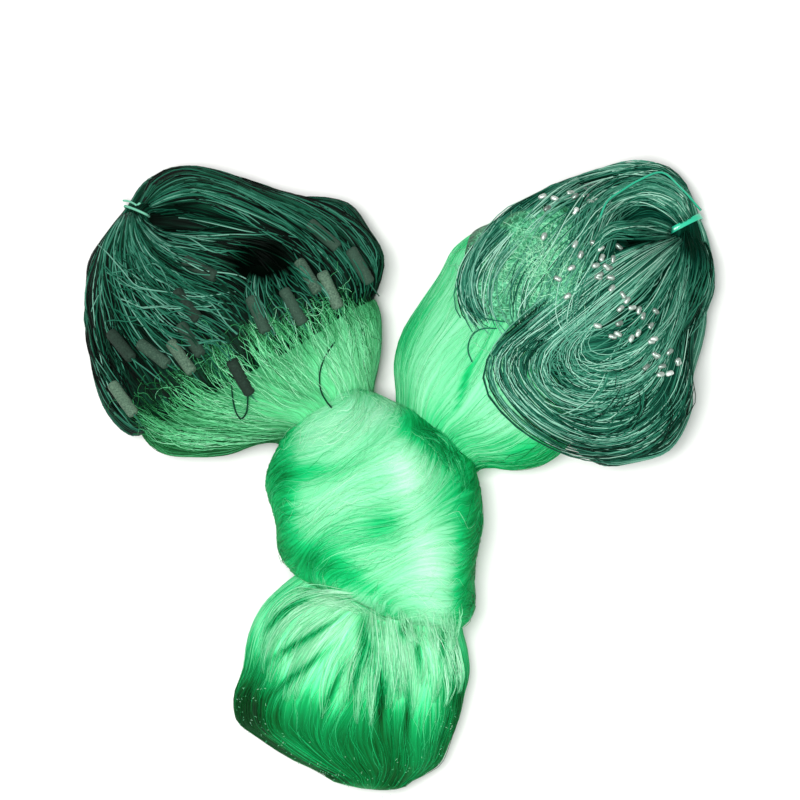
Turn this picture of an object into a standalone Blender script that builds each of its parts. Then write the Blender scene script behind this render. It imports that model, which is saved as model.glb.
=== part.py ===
"""A packed gill net lying on the ground, in metres with +Z up.

The webbing is one length of fine netting, gathered into two arms that meet in a round wrap, with
its end hanging out below as a tuft. The float line and the lead line are each gathered into a hank
beside one arm and tied off. X runs across the bundle, from the float line to the lead line, and Y
runs from the tuft to the hanks. The origin is the middle of the footprint, on the ground.
"""

import math
from collections import namedtuple

import bpy
import numpy as np
from mathutils import Matrix, Vector
from mathutils.bvhtree import BVHTree

MM = 0.001
GAP = 0.3 * MM  # between two pieces that touch
REST_GAP = 0.5 * MM  # under a small piece that lies on faceted folds
DRAPE_GAP = 2.0 * MM  # between a hank and the webbing it lies over

FLOAT_LENGTH = 30 * MM
FLOAT_DIAMETER = 9 * MM
SINKER_LENGTH = 6.2 * MM
SINKER_DIAMETER = 3.8 * MM
SINKER_PINCH = 0.6  # share of the diameter left at a sinker's crimped ends
SINKER_BARREL = 0.55  # share of a sinker's length that keeps its full diameter
FLOAT_EDGE = 0.55  # of a float's radius: how far its ends round over
FLOAT_LINE = 1.3 * MM
LEAD_LINE = 1.0 * MM

STRAP_WIDTH = 4.5 * MM
STRAP_THICKNESS = 1.2 * MM
TIE_CORD = 2.0 * MM
TIE_GAP = 0.4 * MM

SECTION_POWER = 2.2  # of the superellipse that every bundle's section follows: 2 is an ellipse
SINK = 8 * MM  # how far a section would reach below the ground, where it is pressed flat instead
STEPS = 2  # rings from each section of a bundle to the next
NOSE_RINGS = np.radians([30, 60])  # where a bundle's closing rings stand on the quarter circle of its end

# One cross-section of a bundle, in millimetres and degrees: the middle of its foot, half its width,
# which way the width points, its height, and how far its round underside is raised off the ground.
Section = namedtuple("Section", "x y half turn top raised", defaults=(0.0,))

WRAP = (
    Section(-41, 56, 17, 19, 60),
    Section(-41, 45, 40, 12, 74),
    Section(-36, 30, 60, 13, 86),
    Section(-25, 10, 75, 10, 94),
    Section(-18, -15, 80, 6, 98),
    Section(-16, -38, 77, 4, 99),
    Section(-14, -61, 73, 1, 97),
    Section(-10, -82, 68, -3, 93),
    Section(-3, -96, 58, -7, 88),
    Section(7, -108, 43, -10, 80),
)
TAIL = (
    Section(-16, -85, 59, -11, 62),
    Section(-20, -101, 69, -14, 70),
    Section(-26, -116, 78, -12, 75),
    Section(-30, -136, 83, -10, 77),
    Section(-34, -158, 82, -7, 76),
    Section(-39, -176, 83, -6, 73),
    Section(-41, -195, 78, -6, 68),
    Section(-36, -209, 67, -8, 60),
    Section(-28, -221, 49, -6, 50),
    Section(-22, -230, 30, -6, 40),
)
LEFT_ARM = (
    Section(-44, 20, 35, 32, 56),
    Section(-54, 40, 38, 30, 60),
    Section(-61, 52, 54, 34, 64),
    Section(-71, 58, 72, 38, 67),
    Section(-84, 67, 88, 39, 69),
    Section(-101, 76, 98, 39, 68),
    Section(-118, 89, 97, 40, 62),
    Section(-135, 101, 83, 43, 50),
    Section(-149, 106, 56, 48, 38),
)
RIGHT_ARM = (
    Section(24, 9, 29, -31, 60),
    Section(31, 31, 42, -39, 68),
    Section(42, 42, 60, -41, 75),
    Section(56, 56, 72, -42, 80),
    Section(72, 75, 76, -42, 82),
    Section(87, 99, 75, -41, 80),
    Section(96, 126, 69, -38, 75),
    Section(109, 153, 57, -33, 66),
    Section(119, 177, 38, -32, 54),
    Section(128, 190, 18, -32, 42),
)
FLOAT_FAN = (
    Section(-180, 166, 58, 24, 44),
    Section(-169, 162, 80, 31, 52),
    Section(-153, 154, 99, 34, 60),
    Section(-135, 139, 117, 34, 68),
    Section(-123, 117, 121, 33, 76),
    Section(-112, 99, 119, 32, 81),
    Section(-108, 83, 107, 31, 78),
    Section(-106, 76, 92, 29, 68),
)
FLOAT_SKEIN = (
    Section(-86, 187, 20, -105, 50),
    Section(-119, 200, 22, -98, 50),
    Section(-153, 211, 21, -90, 46),
    Section(-182, 211, 16, -62, 34, 3),
    Section(-200, 200, 8, -24, 20, 11),
    Section(-199, 181, 22, -12, 33, 9),
    Section(-205, 156, 32, -2, 46),
    Section(-204, 124, 29, 8, 50),
)
LEAD_FAN = (
    Section(198, 159, 34, -20, 48),
    Section(188, 142, 70, -59, 66),
    Section(172, 132, 99, -61, 80),
    Section(153, 113, 110, -63, 89),
    Section(126, 101, 106, -64, 90),
    Section(112, 94, 98, -65, 84),
    Section(104, 90, 84, -66, 72),
)
LEAD_SKEIN = (
    Section(138, 186, 26, 74, 56),
    Section(162, 203, 28, 80, 56),
    Section(186, 210, 25, 90, 52),
    Section(206, 203, 20, 60, 42, 4),
    Section(217, 189, 13, 28, 28, 11),
    Section(214, 170, 22, 4, 40, 9),
    Section(209, 142, 30, -4, 50),
    Section(198, 98, 24, -12, 56),
)
FLOAT_NECK = FLOAT_SKEIN[4]
LEAD_NECK = LEAD_SKEIN[4]

# A ripple goes round a bundle this many times, slants as it runs along, and stands this high in millimetres.
Ripple = namedtuple("Ripple", "turns slant phase height")
# A crease is a soft trough: its share of the way along, its angle round, its reach both ways, and its
# depth in millimetres.
Crease = namedtuple("Crease", "at angle length width depth")
WRAP_HOOPS = 3.2  # broad hoops along the wrap
HOOP_BEND = 0.12  # of a hoop's width: how far the hoops lean forward on one side
HOOP_HEIGHT = 2.0
# Where the right arm tucks into the wrap, and the shoulder on the other side.
WRAP_CREASES = (Crease(0.34, 42, 0.10, 26, 8.0), Crease(0.30, 150, 0.12, 30, 3.0))
TAIL_RIPPLES = (Ripple(5, 2.0, 0.8, 0.6), Ripple(8, -3.0, 2.1, 0.4))
TAIL_GROWTH = (1.2, 3.0)  # how strong the tail's ripples are at its neck, and how much they gain
TAIL_CREASES = (
    Crease(0.35, 62, 0.30, 9, 6.5),
    Crease(0.55, 84, 0.40, 9, 6.5),
    Crease(0.25, 125, 0.22, 10, 5.2),
)
ARM_RIPPLES = (Ripple(6, 2.5, 0.4, 0.9), Ripple(3, -3.5, 1.2, 0.5))
HANK_RIPPLES = (Ripple(6, 5.0, 1.0, 1.2), Ripple(4, -6.0, 0.3, 0.8))

# A pit is the dark centre that the lines part around: its middle, half width, and floor height.
Pit = namedtuple("Pit", "x y half floor")
FLOAT_PIT = Pit(-103, 165, 12, 48)
PIT_OVAL = 0.8  # a pit's width along Y, as a share of that along X
PIT_TAPER = ((0.55, 0), (0.9, 12), (1.6, 42))  # share of its half width, at each height over its floor

# Where a small piece lies: its middle, and the way its length points.
Place = namedtuple("Place", "x y turn")
FLOATS = (
    Place(-205, 53, -54),
    Place(-182, 86, -38),
    Place(-161, 83, -54),
    Place(-117, 68, -60),
    Place(-104, 114, -66),
    Place(-78, 120, -60),
    Place(-67, 143, -58),
    Place(-51, 133, -64),
    Place(-56, 175, -42),
    Place(-29, 152, -60),
    Place(-207, 93, -50),
    Place(-148, 150, -30),
    Place(-157, 122, -52),
    Place(-154, 96, -56),
)
SINKERS = (
    Place(110, 194, 30),
    Place(128, 207, 10),
    Place(143, 200, -20),
    Place(130, 166, 60),
    Place(145, 166, 15),
    Place(163, 165, -40),
    Place(150, 156, 70),
    Place(155, 148, 20),
    Place(147, 141, -15),
    Place(157, 133, 50),
    Place(165, 128, -60),
    Place(124, 127, 35),
    Place(172, 119, 10),
    Place(180, 113, 75),
    Place(190, 117, -35),
    Place(162, 107, 25),
    Place(186, 106, 55),
    Place(157, 97, -10),
    Place(171, 96, 65),
    Place(186, 94, 5),
    Place(189, 84, -50),
    Place(182, 75, 40),
    Place(193, 70, 15),
    Place(207, 80, -25),
)

# Loops of line that stray from a hank onto the webbing, in millimetres over the ground.
LOOPS = {
    "float_line_loop": (
        FLOAT_LINE,
        ((-48, 95), (-54, 86), (-58, 76), (-59, 68), (-58, 59), (-54, 51), (-50, 46)),
    ),
    "float_line_bight": (
        FLOAT_LINE,
        ((-124, 62), (-123, 52), (-121, 43), (-117, 38), (-113, 43), (-112, 51), (-111, 62)),
    ),
    "lead_line_loop": (
        LEAD_LINE,
        ((43, 142), (44, 133), (47, 123), (55, 115), (66, 111), (78, 109)),
    ),
    "lead_line_hook": (
        LEAD_LINE,
        ((72, 104), (63, 104), (56, 101), (52, 95), (51, 87), (54, 79)),
    ),
}
LOOP_POINTS = 28  # along each loop's tube
DRAPE_REACH = 3  # points either side whose height a loop of line clears
REST_ROWS, REST_COLUMNS = 7, 5  # places along and across a small piece where the surface below is felt
REST_WIDTH = 0.9  # of its radius: how far to each side they reach


def through(points, steps):
    """The Catmull-Rom curve through the points, with this many samples from each to the next."""
    points = np.asarray(points, float)
    ends = np.vstack([2 * points[0] - points[1], points, 2 * points[-1] - points[-2]])
    t = np.linspace(0, 1, steps, endpoint=False)[:, None]
    spans = []
    for i in range(len(points) - 1):
        a, b, c, d = ends[i : i + 4]
        squared = 2 * a - 5 * b + 4 * c - d
        cubed = 3 * b - a - 3 * c + d
        spans.append(0.5 * (2 * b + (c - a) * t + squared * t**2 + cubed * t**3))
    return np.vstack(spans + [points[-1:]])


def across(turn):
    """The unit vector, level with the ground, that points along a turn in degrees."""
    angle = np.radians(turn)
    return np.stack([np.cos(angle), np.sin(angle), np.zeros_like(angle)], axis=-1)


def section_ring(theta, half, low, high):
    """A superellipse half wide to each side, from low to high: sideways and upward places at each angle."""
    power = 2 / SECTION_POWER
    side = half * np.sign(np.cos(theta)) * np.abs(np.cos(theta)) ** power
    up = np.sign(np.sin(theta)) * np.abs(np.sin(theta)) ** power
    return side, (high + low) / 2 + (high - low) / 2 * up


def bundle(name, sections, sides, nose, relief=None, grow=0.0, skirt=False):
    """A closed mesh lofted through the sections, whose two ends round off over the nose length.

    Each ring is a superellipse in the upright plane of its section, pushed out by relief(u, theta),
    where u runs from 0 to 1 along the bundle. Its underside passes below the ground, to be cut flat.
    With a skirt, the lower half runs straight down instead, as for a cutter that leaves nothing under it.
    """
    table = through(sections, STEPS)
    centre = np.column_stack([table[:, :2] * MM, np.zeros(len(table))])
    width = across(table[:, 3])
    along = np.stack([-width[:, 1], width[:, 0], np.zeros(len(table))], axis=-1)
    along *= np.sign(np.sum(along * np.gradient(centre, axis=0), axis=1))[:, None]
    u = np.linspace(0, 1, len(table))
    # Closing rings stand beyond each end, smaller and smaller, with a pole past the last of them.
    reach = (nose + grow) * np.sin(NOSE_RINGS)[:, None]
    start = (centre[0] - along[0] * reach)[::-1]
    stop = centre[-1] + along[-1] * reach
    poles = np.stack([centre[0] - along[0] * (nose + grow), centre[-1] + along[-1] * (nose + grow)])
    scale = np.concatenate([np.cos(NOSE_RINGS)[::-1], np.ones(len(table)), np.cos(NOSE_RINGS)])
    extra = len(NOSE_RINGS)
    table, width = (np.pad(rows, ((extra, extra), (0, 0)), mode="edge") for rows in (table, width))
    u = np.pad(u, extra, mode="edge")
    centre = np.vstack([start, centre, stop])

    theta = np.linspace(0, 2 * np.pi, sides, endpoint=False)
    half = table[:, 2:3] * MM + grow
    top = table[:, 4:5] * MM + grow
    bottom = table[:, 5:6] * MM - SINK - grow
    middle = (top + bottom) / 2
    side, up = section_ring(theta[None, :], half, bottom, top)
    push = 0.0 if relief is None else relief(u[:, None], theta[None, :])
    side = side + push * np.cos(theta)
    up = up + push * np.sin(theta)
    if skirt:
        lower = np.sin(theta)[None, :] < 0
        square = 1 / np.maximum(np.abs(np.cos(theta)), np.abs(np.sin(theta)))[None, :]
        side = np.where(lower, half * np.cos(theta) * square, side)
        up = np.where(lower, middle + (middle + SINK) * np.sin(theta) * square, up)
    side = side * scale[:, None]
    points = centre[:, None] + width[:, None] * side[..., None]
    points[..., 2] = middle + (up - middle) * scale[:, None]
    poles[:, 2] = middle[[0, -1], 0]
    faces = tube_faces(len(points), sides)
    ring = np.arange(sides)
    last = (len(points) - 1) * sides
    first_pole = last + sides
    faces += zip(np.roll(ring, -1), ring, np.full(sides, first_pole))
    faces += zip(last + ring, last + np.roll(ring, -1), np.full(sides, first_pole + 1))
    return mesh_object(name, np.vstack([points.reshape(-1, 3), poles]), faces)


def tube_faces(rings, sides):
    """The four-cornered faces that join rings of points, each to the next."""
    ring = np.arange(sides)
    after = np.roll(ring, -1)
    faces = []
    for base in range(0, (rings - 1) * sides, sides):
        faces += zip(base + ring, base + after, base + sides + after, base + sides + ring)
    return faces


def mesh_object(name, vertices, faces):
    """A mesh object of these points and faces, turned inside out if they point inwards."""
    mesh = bpy.data.meshes.new(name)
    mesh.from_pydata([tuple(v) for v in vertices], [], [tuple(int(i) for i in f) for f in faces])
    mesh.update()
    if signed_volume(mesh) < 0:
        mesh.flip_normals()
    obj = bpy.data.objects.new(name, mesh)
    bpy.context.scene.collection.objects.link(obj)
    return obj


def signed_volume(mesh):
    """Six times the mesh's volume, negative where its faces point inwards."""
    mesh.calc_loop_triangles()
    corners = np.array([[mesh.vertices[i].co for i in tri.vertices] for tri in mesh.loop_triangles])
    return float(np.linalg.det(corners).sum())


def combine(target, other, operation):
    """Joins the other object to the target, or cuts it away, and removes it."""
    modifier = target.modifiers.new(operation.lower(), "BOOLEAN")
    modifier.operation = operation
    modifier.solver = "EXACT"
    modifier.object = other
    graph = bpy.context.evaluated_depsgraph_get()
    mesh = bpy.data.meshes.new_from_object(target.evaluated_get(graph))
    target.modifiers.clear()
    target.data = mesh
    bpy.data.objects.remove(other)
    return target


def box(name, low, high):
    """An axis-aligned block between two corners."""
    corners = [(x, y, z) for x in (low[0], high[0]) for y in (low[1], high[1]) for z in (low[2], high[2])]
    faces = ((0, 1, 3, 2), (4, 6, 7, 5), (0, 4, 5, 1), (2, 3, 7, 6), (0, 2, 6, 4), (1, 5, 7, 3))
    return mesh_object(name, corners, faces)


def press_flat(obj):
    """Cuts away what lies below the ground, which leaves the flat patch that the bundle rests on."""
    return combine(obj, box("ground", (-1, -1, -0.1), (1, 1, 0)), "DIFFERENCE")


def keep_largest(obj):
    """Drops the crumbs that a cut leaves, so that one body remains."""
    mesh = obj.data
    edges = np.empty(len(mesh.edges) * 2, np.int64)
    mesh.edges.foreach_get("vertices", edges)
    edges = edges.reshape(-1, 2)
    label = np.arange(len(mesh.vertices))
    while True:
        lowest = np.minimum(label[edges[:, 0]], label[edges[:, 1]])
        before = label.copy()
        np.minimum.at(label, edges[:, 0], lowest)
        np.minimum.at(label, edges[:, 1], lowest)
        if (label == before).all():
            break
    kept = np.bincount(label).argmax()
    if (label == kept).all():
        return obj
    index = np.cumsum(label == kept) - 1
    vertices = [mesh.vertices[i].co[:] for i in np.flatnonzero(label == kept)]
    remaining = [face for face in mesh.polygons if label[face.vertices[0]] == kept]
    faces = [[int(index[i]) for i in face.vertices] for face in remaining]
    obj.data = mesh_object(obj.name + "_kept", vertices, faces).data
    bpy.data.objects.remove(bpy.data.objects[obj.name + "_kept"])
    return obj


def rippled(ripples, u, theta):
    """The sum of the ripples, in millimetres, at a share of the way along and an angle round a bundle."""
    return sum(r.height * np.cos(r.turns * theta + r.slant * u + r.phase) for r in ripples)


def creased(creases, u, theta):
    """The sum of the creases' depths, in millimetres: each a bell about its place on a bundle."""
    total = 0.0
    for crease in creases:
        turn = np.angle(np.exp(1j * (theta - math.radians(crease.angle))))
        bell = ((u - crease.at) / crease.length) ** 2 + (turn / math.radians(crease.width)) ** 2
        total = total + crease.depth * np.exp(-bell)
    return total


def wrap_relief(u, theta):
    """Broad hoops with soft valleys between them, and the wrap's creases."""
    hoops = HOOP_HEIGHT * np.cos(2 * np.pi * (WRAP_HOOPS * u + HOOP_BEND * np.cos(theta)))
    return (hoops - creased(WRAP_CREASES, u, theta)) * MM


def tail_relief(u, theta):
    """Lengthwise folds that deepen from the neck to the free end, and the tail's creases."""
    strength = TAIL_GROWTH[0] + TAIL_GROWTH[1] * u
    return (strength * rippled(TAIL_RIPPLES, u, theta) - creased(TAIL_CREASES, u, theta)) * MM


def arm_relief(u, theta):
    """Shallow lengthwise folds of the gathered netting."""
    return rippled(ARM_RIPPLES, u, theta) * MM


def hank_relief(u, theta):
    """The bunches of line that lie side by side across a hank, lowest at its ends."""
    return rippled(HANK_RIPPLES, u, theta) * np.sin(np.pi * u) * MM


def arm(side, grow=0.0, skirt=False):
    """The left or right arm of the webbing, or a larger copy to cut with."""
    sections = {"left": LEFT_ARM, "right": RIGHT_ARM}[side]
    return bundle(side + "_arm", sections, 32, 8 * MM, arm_relief, grow, skirt)


def make_webbing():
    """The whole length of netting: two arms, the wrap round them and the tail that hangs out below."""
    webbing = bundle("webbing", WRAP, 36, 7 * MM, wrap_relief)
    combine(webbing, bundle("tail", TAIL, 40, 8 * MM, tail_relief), "UNION")
    combine(webbing, arm("left"), "UNION")
    combine(webbing, arm("right"), "UNION")
    return keep_largest(press_flat(webbing))


def make_hank(name, fan, skein, side):
    """A hank: its fan of lines, and the skein that loops out of it through the tie and back in."""
    hank = bundle(name, fan, 32, 6 * MM, hank_relief)
    combine(hank, bundle(name + "_skein", skein, 24, 6 * MM), "UNION")
    combine(hank, arm(side, DRAPE_GAP, skirt=True), "DIFFERENCE")
    return hank


def make_pit(pit):
    """A tapered plug that sinks a pit into a hank from above."""
    sides = 16
    angle = np.linspace(0, 2 * np.pi, sides, endpoint=False)
    rings = []
    for share, height in PIT_TAPER:
        x = pit.x + share * pit.half * np.cos(angle)
        y = pit.y + share * pit.half * PIT_OVAL * np.sin(angle)
        rings.append(np.column_stack([x, y, np.full(sides, pit.floor + height)]))
    ring = np.arange(sides)
    last = (len(rings) - 1) * sides
    faces = [tuple(ring[::-1]), tuple(last + ring)] + tube_faces(len(rings), sides)
    return mesh_object("pit", np.vstack(rings) * MM, faces)


def neck_path(neck, clear, points):
    """The closed path that goes round a hank's neck, this far off its surface, and its outward directions."""
    theta = np.linspace(0, 2 * np.pi, points, endpoint=False)
    low = neck.raised * MM - SINK
    side, up = section_ring(theta, neck.half * MM + clear, low - clear, neck.top * MM + clear)
    width = across(np.array(float(neck.turn)))
    centre = np.array([neck.x, neck.y, 0]) * MM
    path = centre + width * side[:, None]
    path[:, 2] = up
    step = np.roll(path, -1, 0) - np.roll(path, 1, 0)
    along = np.cross(width, (0, 0, 1))
    outward = np.cross(along, step)
    outward /= np.linalg.norm(outward, axis=1)[:, None]
    middle = np.array([centre[0], centre[1], (low + neck.top * MM) / 2])
    outward *= np.sign(np.sum(outward * (path - middle), axis=1))[:, None]
    return path, outward, along


def ring_of(name, path, profile):
    """A closed tube round the path, whose section is the profile's points (outward, along)."""
    points, outward, along = path
    out, run = np.array(profile).T
    vertices = points[:, None] + outward[:, None] * out[:, None] + along * run[:, None]
    count, sides = len(points), len(profile)
    faces = []
    for i in range(count):
        a, b = i * sides, (i + 1) % count * sides
        for j in range(sides):
            k = (j + 1) % sides
            faces.append((a + j, a + k, b + k, b + j))
    return mesh_object(name, vertices.reshape(-1, 3), faces)


def strap_profile(grow):
    """The flat strap's section, from its inner face outwards."""
    half = STRAP_WIDTH / 2 + grow
    return ((-grow, -half), (STRAP_THICKNESS + grow, -half), (STRAP_THICKNESS + grow, half), (-grow, half))


def cord_profile(radius):
    """The tie cord's section, six-sided."""
    angle = np.radians(np.arange(0, 360, 60) + 30)
    return [(radius * math.cos(a), radius * math.sin(a)) for a in angle]


def make_strap(name="lead_line_strap", grow=0.0):
    """The flat strap that gathers the lead line's hank."""
    return ring_of(name, neck_path(LEAD_NECK, TIE_GAP, 28), strap_profile(grow))


def make_tie_cord(name="float_line_tie", grow=0.0):
    """The cord that ties the float line's hank round its neck."""
    path = neck_path(FLOAT_NECK, TIE_GAP + TIE_CORD / 2, 24)
    return ring_of(name, path, cord_profile(TIE_CORD / 2 + grow))


def ground_tree(objects):
    """A search tree over these objects' faces, to find the surface below a point."""
    vertices, faces = [], []
    for obj in objects:
        start = len(vertices)
        vertices += [v.co.copy() for v in obj.data.vertices]
        faces += [[start + i for i in face.vertices] for face in obj.data.polygons]
    return BVHTree.FromPolygons(vertices, faces)


def height_at(tree, x, y):
    """The height of the uppermost surface at a place, or the ground's."""
    hit = tree.ray_cast(Vector((x, y, 1)), Vector((0, 0, -1)))
    return hit[0].z if hit[0] else 0.0


def rest_matrix(tree, place, length, diameter):
    """The pose of a short round piece that lies on the surface below it, along its place's turn."""
    heading = across(np.array(float(place.turn)))
    sideways = np.array([-heading[1], heading[0], 0])
    centre = np.array([place.x, place.y, 0]) * MM
    radius = diameter / 2
    along = np.linspace(-0.5, 0.5, REST_ROWS) * length
    aside = np.linspace(-REST_WIDTH, REST_WIDTH, REST_COLUMNS) * radius
    spots = centre + heading * along[:, None, None] + sideways * aside[None, :, None]
    heights = np.array([[height_at(tree, x, y) for x, y, _ in row] for row in spots])
    # How far the underside of the round piece rises towards its sides.
    rise = radius - np.sqrt(radius**2 - aside**2)
    needed = (heights - rise).max(axis=1)
    slope = np.polyfit(along, needed, 1)[0]
    level = (needed - slope * along).max() + radius * math.hypot(1, slope) + REST_GAP
    forward = Vector((heading[0], heading[1], slope)).normalized()
    left = Vector(sideways)
    basis = Matrix((forward, left, forward.cross(left))).transposed().to_4x4()
    return Matrix.Translation((centre[0], centre[1], level)) @ basis


def turned(name, profile, sides):
    """A mesh turned about X from (place along X, radius) pairs, closed by its end faces."""
    angle = np.linspace(0, 2 * np.pi, sides, endpoint=False)
    rings = [np.column_stack([np.full(sides, x), r * np.cos(angle), r * np.sin(angle)]) for x, r in profile]
    ring = np.arange(sides)
    last = (len(profile) - 1) * sides
    faces = [tuple(ring[::-1]), tuple(last + ring)] + tube_faces(len(profile), sides)
    obj = mesh_object(name, np.vstack(rings), faces)
    mesh = obj.data
    bpy.data.objects.remove(obj)
    return mesh


def float_mesh():
    """A foam float: a cylinder whose two ends round over."""
    half, radius = FLOAT_LENGTH / 2, FLOAT_DIAMETER / 2
    edge = FLOAT_EDGE * radius
    profile = ((-half, radius - edge), (-half + 0.4 * edge, radius - 0.3 * edge), (-half + edge, radius))
    profile += tuple((-x, r) for x, r in reversed(profile))
    return turned("float", profile, 10)


def sinker_mesh():
    """A lead sinker crimped on the line: a short barrel with pinched ends."""
    half, radius = SINKER_LENGTH / 2, SINKER_DIAMETER / 2
    pinched, barrel = SINKER_PINCH * radius, SINKER_BARREL * half
    profile = ((-half, pinched), (-barrel, radius), (barrel, radius), (half, pinched))
    return turned("sinker", profile, 8)


def lay_out(name, mesh, places, tree, length, diameter, colour):
    """One object for each place, all sharing the mesh, laid on the surface below."""
    mesh.materials.append(colour)
    for number, place in enumerate(places, 1):
        obj = bpy.data.objects.new(f"{name}_{number:02d}", mesh)
        obj.matrix_world = rest_matrix(tree, place, length, diameter)
        bpy.context.scene.collection.objects.link(obj)


def draped(tree, route, diameter):
    """The route laid on the surface: each point clears the highest spot near it, then is evened out."""
    dense = through(route, LOOP_POINTS)[:, :2] * MM
    heights = np.array([height_at(tree, x, y) for x, y in dense])
    reach = DRAPE_REACH * (len(route) - 1)
    padded = np.pad(heights, reach, mode="edge")
    window = 2 * reach + 1
    highest = np.lib.stride_tricks.sliding_window_view(padded, window).max(axis=1)
    padded = np.pad(highest, reach, mode="edge")
    level = np.lib.stride_tricks.sliding_window_view(padded, window).mean(axis=1)
    points = np.column_stack([dense, level + diameter / 2 + REST_GAP])
    return points[:: len(route) - 1]


def line_tube(name, points, diameter, colour):
    """A round line along the points, with closed ends."""
    curve = bpy.data.curves.new(name, "CURVE")
    curve.dimensions = "3D"
    curve.bevel_depth = diameter / 2
    curve.bevel_resolution = 2
    curve.use_fill_caps = True
    spline = curve.splines.new("POLY")
    spline.points.add(len(points) - 1)
    for spot, point in zip(spline.points, points):
        spot.co = (*point, 1)
    curve.materials.append(colour)
    obj = bpy.data.objects.new(name, curve)
    bpy.context.scene.collection.objects.link(obj)
    return obj


def material(name, colour, roughness, metallic=0.0):
    """A Principled material of one sRGB hex colour."""
    made = bpy.data.materials.new(name)
    made.use_nodes = True
    shader = made.node_tree.nodes["Principled BSDF"]
    channels = [int(colour[i : i + 2], 16) / 255 for i in (0, 2, 4)]
    linear = [c / 12.92 if c <= 0.04045 else ((c + 0.055) / 1.055) ** 2.4 for c in channels]
    shader.inputs["Base Color"].default_value = (*linear, 1)
    shader.inputs["Roughness"].default_value = roughness
    shader.inputs["Metallic"].default_value = metallic
    made.diffuse_color = (*linear, 1)
    return made


def dress(obj, colour):
    """Gives a mesh object its material and smooth shading."""
    obj.data.materials.clear()
    obj.data.materials.append(colour)
    obj.data.shade_smooth()
    return obj


def centre_on_ground(objects):
    """Hangs every piece from one empty, moved so that the footprint's middle is the origin."""
    bpy.context.view_layer.update()
    graph = bpy.context.evaluated_depsgraph_get()
    corners = []
    for obj in objects:
        seen = obj.evaluated_get(graph)
        mesh = seen.to_mesh()
        spots = np.empty(len(mesh.vertices) * 3, np.float32)
        mesh.vertices.foreach_get("co", spots)
        world = np.array(seen.matrix_world)
        spots = spots.reshape(-1, 3) @ world[:3, :3].T + world[:3, 3]
        corners += [spots.min(axis=0), spots.max(axis=0)]
        seen.to_mesh_clear()
    low, high = np.min(corners, axis=0), np.max(corners, axis=0)
    frame = bpy.data.objects.new("net_frame", None)
    bpy.context.scene.collection.objects.link(frame)
    for obj in objects:
        obj.parent = frame
    frame.location = (-(low[0] + high[0]) / 2, -(low[1] + high[1]) / 2, -low[2])


def main():
    for obj in list(bpy.data.objects):
        bpy.data.objects.remove(obj)
    netting = material("netting", "35D67A", 0.45)
    float_line = material("float_line", "0F6B4D", 0.5)
    lead_line = material("lead_line", "238062", 0.45)
    foam = material("foam", "75887C", 0.8)
    lead = material("lead", "C9CCC6", 0.35, 1.0)
    strap = material("strap", "2FC39A", 0.3)
    tie = material("tie_cord", "8FC7A8", 0.6)

    webbing = dress(make_webbing(), netting)
    float_hank = make_hank("float_line_hank", FLOAT_FAN, FLOAT_SKEIN, "left")
    combine(float_hank, make_tie_cord("tie_groove", GAP), "DIFFERENCE")
    combine(float_hank, make_pit(FLOAT_PIT), "DIFFERENCE")
    dress(keep_largest(press_flat(float_hank)), float_line)
    lead_hank = make_hank("lead_line_hank", LEAD_FAN, LEAD_SKEIN, "right")
    combine(lead_hank, make_strap("strap_groove", GAP), "DIFFERENCE")
    dress(keep_largest(press_flat(lead_hank)), lead_line)
    dress(make_tie_cord(), tie)
    dress(make_strap(), strap)

    bpy.context.view_layer.update()
    tree = ground_tree([webbing, float_hank, lead_hank])
    lay_out("float", float_mesh(), FLOATS, tree, FLOAT_LENGTH, FLOAT_DIAMETER, foam)
    lay_out("sinker", sinker_mesh(), SINKERS, tree, SINKER_LENGTH, SINKER_DIAMETER, lead)
    for name, (diameter, route) in LOOPS.items():
        colour = float_line if diameter == FLOAT_LINE else lead_line
        line_tube(name, draped(tree, route, diameter), diameter, colour)
    centre_on_ground(list(bpy.data.objects))


main()
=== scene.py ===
import copy
from collections import namedtuple

import bpy
import numpy as np
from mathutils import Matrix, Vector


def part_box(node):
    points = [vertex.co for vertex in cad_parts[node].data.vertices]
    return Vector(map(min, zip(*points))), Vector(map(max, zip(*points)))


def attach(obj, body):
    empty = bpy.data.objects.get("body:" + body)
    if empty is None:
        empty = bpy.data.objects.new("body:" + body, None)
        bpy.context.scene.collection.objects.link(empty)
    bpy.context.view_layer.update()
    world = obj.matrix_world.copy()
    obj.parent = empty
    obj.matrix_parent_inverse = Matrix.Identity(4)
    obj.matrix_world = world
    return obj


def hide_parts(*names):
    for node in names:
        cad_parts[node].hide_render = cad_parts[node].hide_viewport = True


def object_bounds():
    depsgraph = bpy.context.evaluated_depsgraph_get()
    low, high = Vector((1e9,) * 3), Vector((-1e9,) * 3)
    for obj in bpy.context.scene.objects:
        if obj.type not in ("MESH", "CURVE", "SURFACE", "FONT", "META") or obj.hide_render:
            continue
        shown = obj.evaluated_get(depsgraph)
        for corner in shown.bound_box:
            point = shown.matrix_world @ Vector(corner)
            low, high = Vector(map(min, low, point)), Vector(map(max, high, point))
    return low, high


# A packed gill net: fine netting gathered into two arms, a wrap and a tuft, with the hank of its
# float line beside one arm and the hank of its lead line beside the other. Tables are in
# millimetres over the ground and degrees, in the plan of the solids' own tables. Everything else is
# in metres, +Z up.

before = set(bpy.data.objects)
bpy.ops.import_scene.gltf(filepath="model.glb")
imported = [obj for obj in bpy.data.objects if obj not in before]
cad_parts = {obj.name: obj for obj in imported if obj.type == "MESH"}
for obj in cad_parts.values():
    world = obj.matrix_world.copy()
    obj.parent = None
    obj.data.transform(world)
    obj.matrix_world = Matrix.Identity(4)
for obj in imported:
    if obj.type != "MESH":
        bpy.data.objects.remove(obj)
cad_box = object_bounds()

MM = 0.001
SECTION_POWER = 2.2  # of the superellipse that every bundle's section follows
SINK = 8 * MM  # how far a section would reach below the ground, where it lies flat instead
THREAD_STRETCH = 24  # how many times longer than wide the streaks of combed threads are
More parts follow.
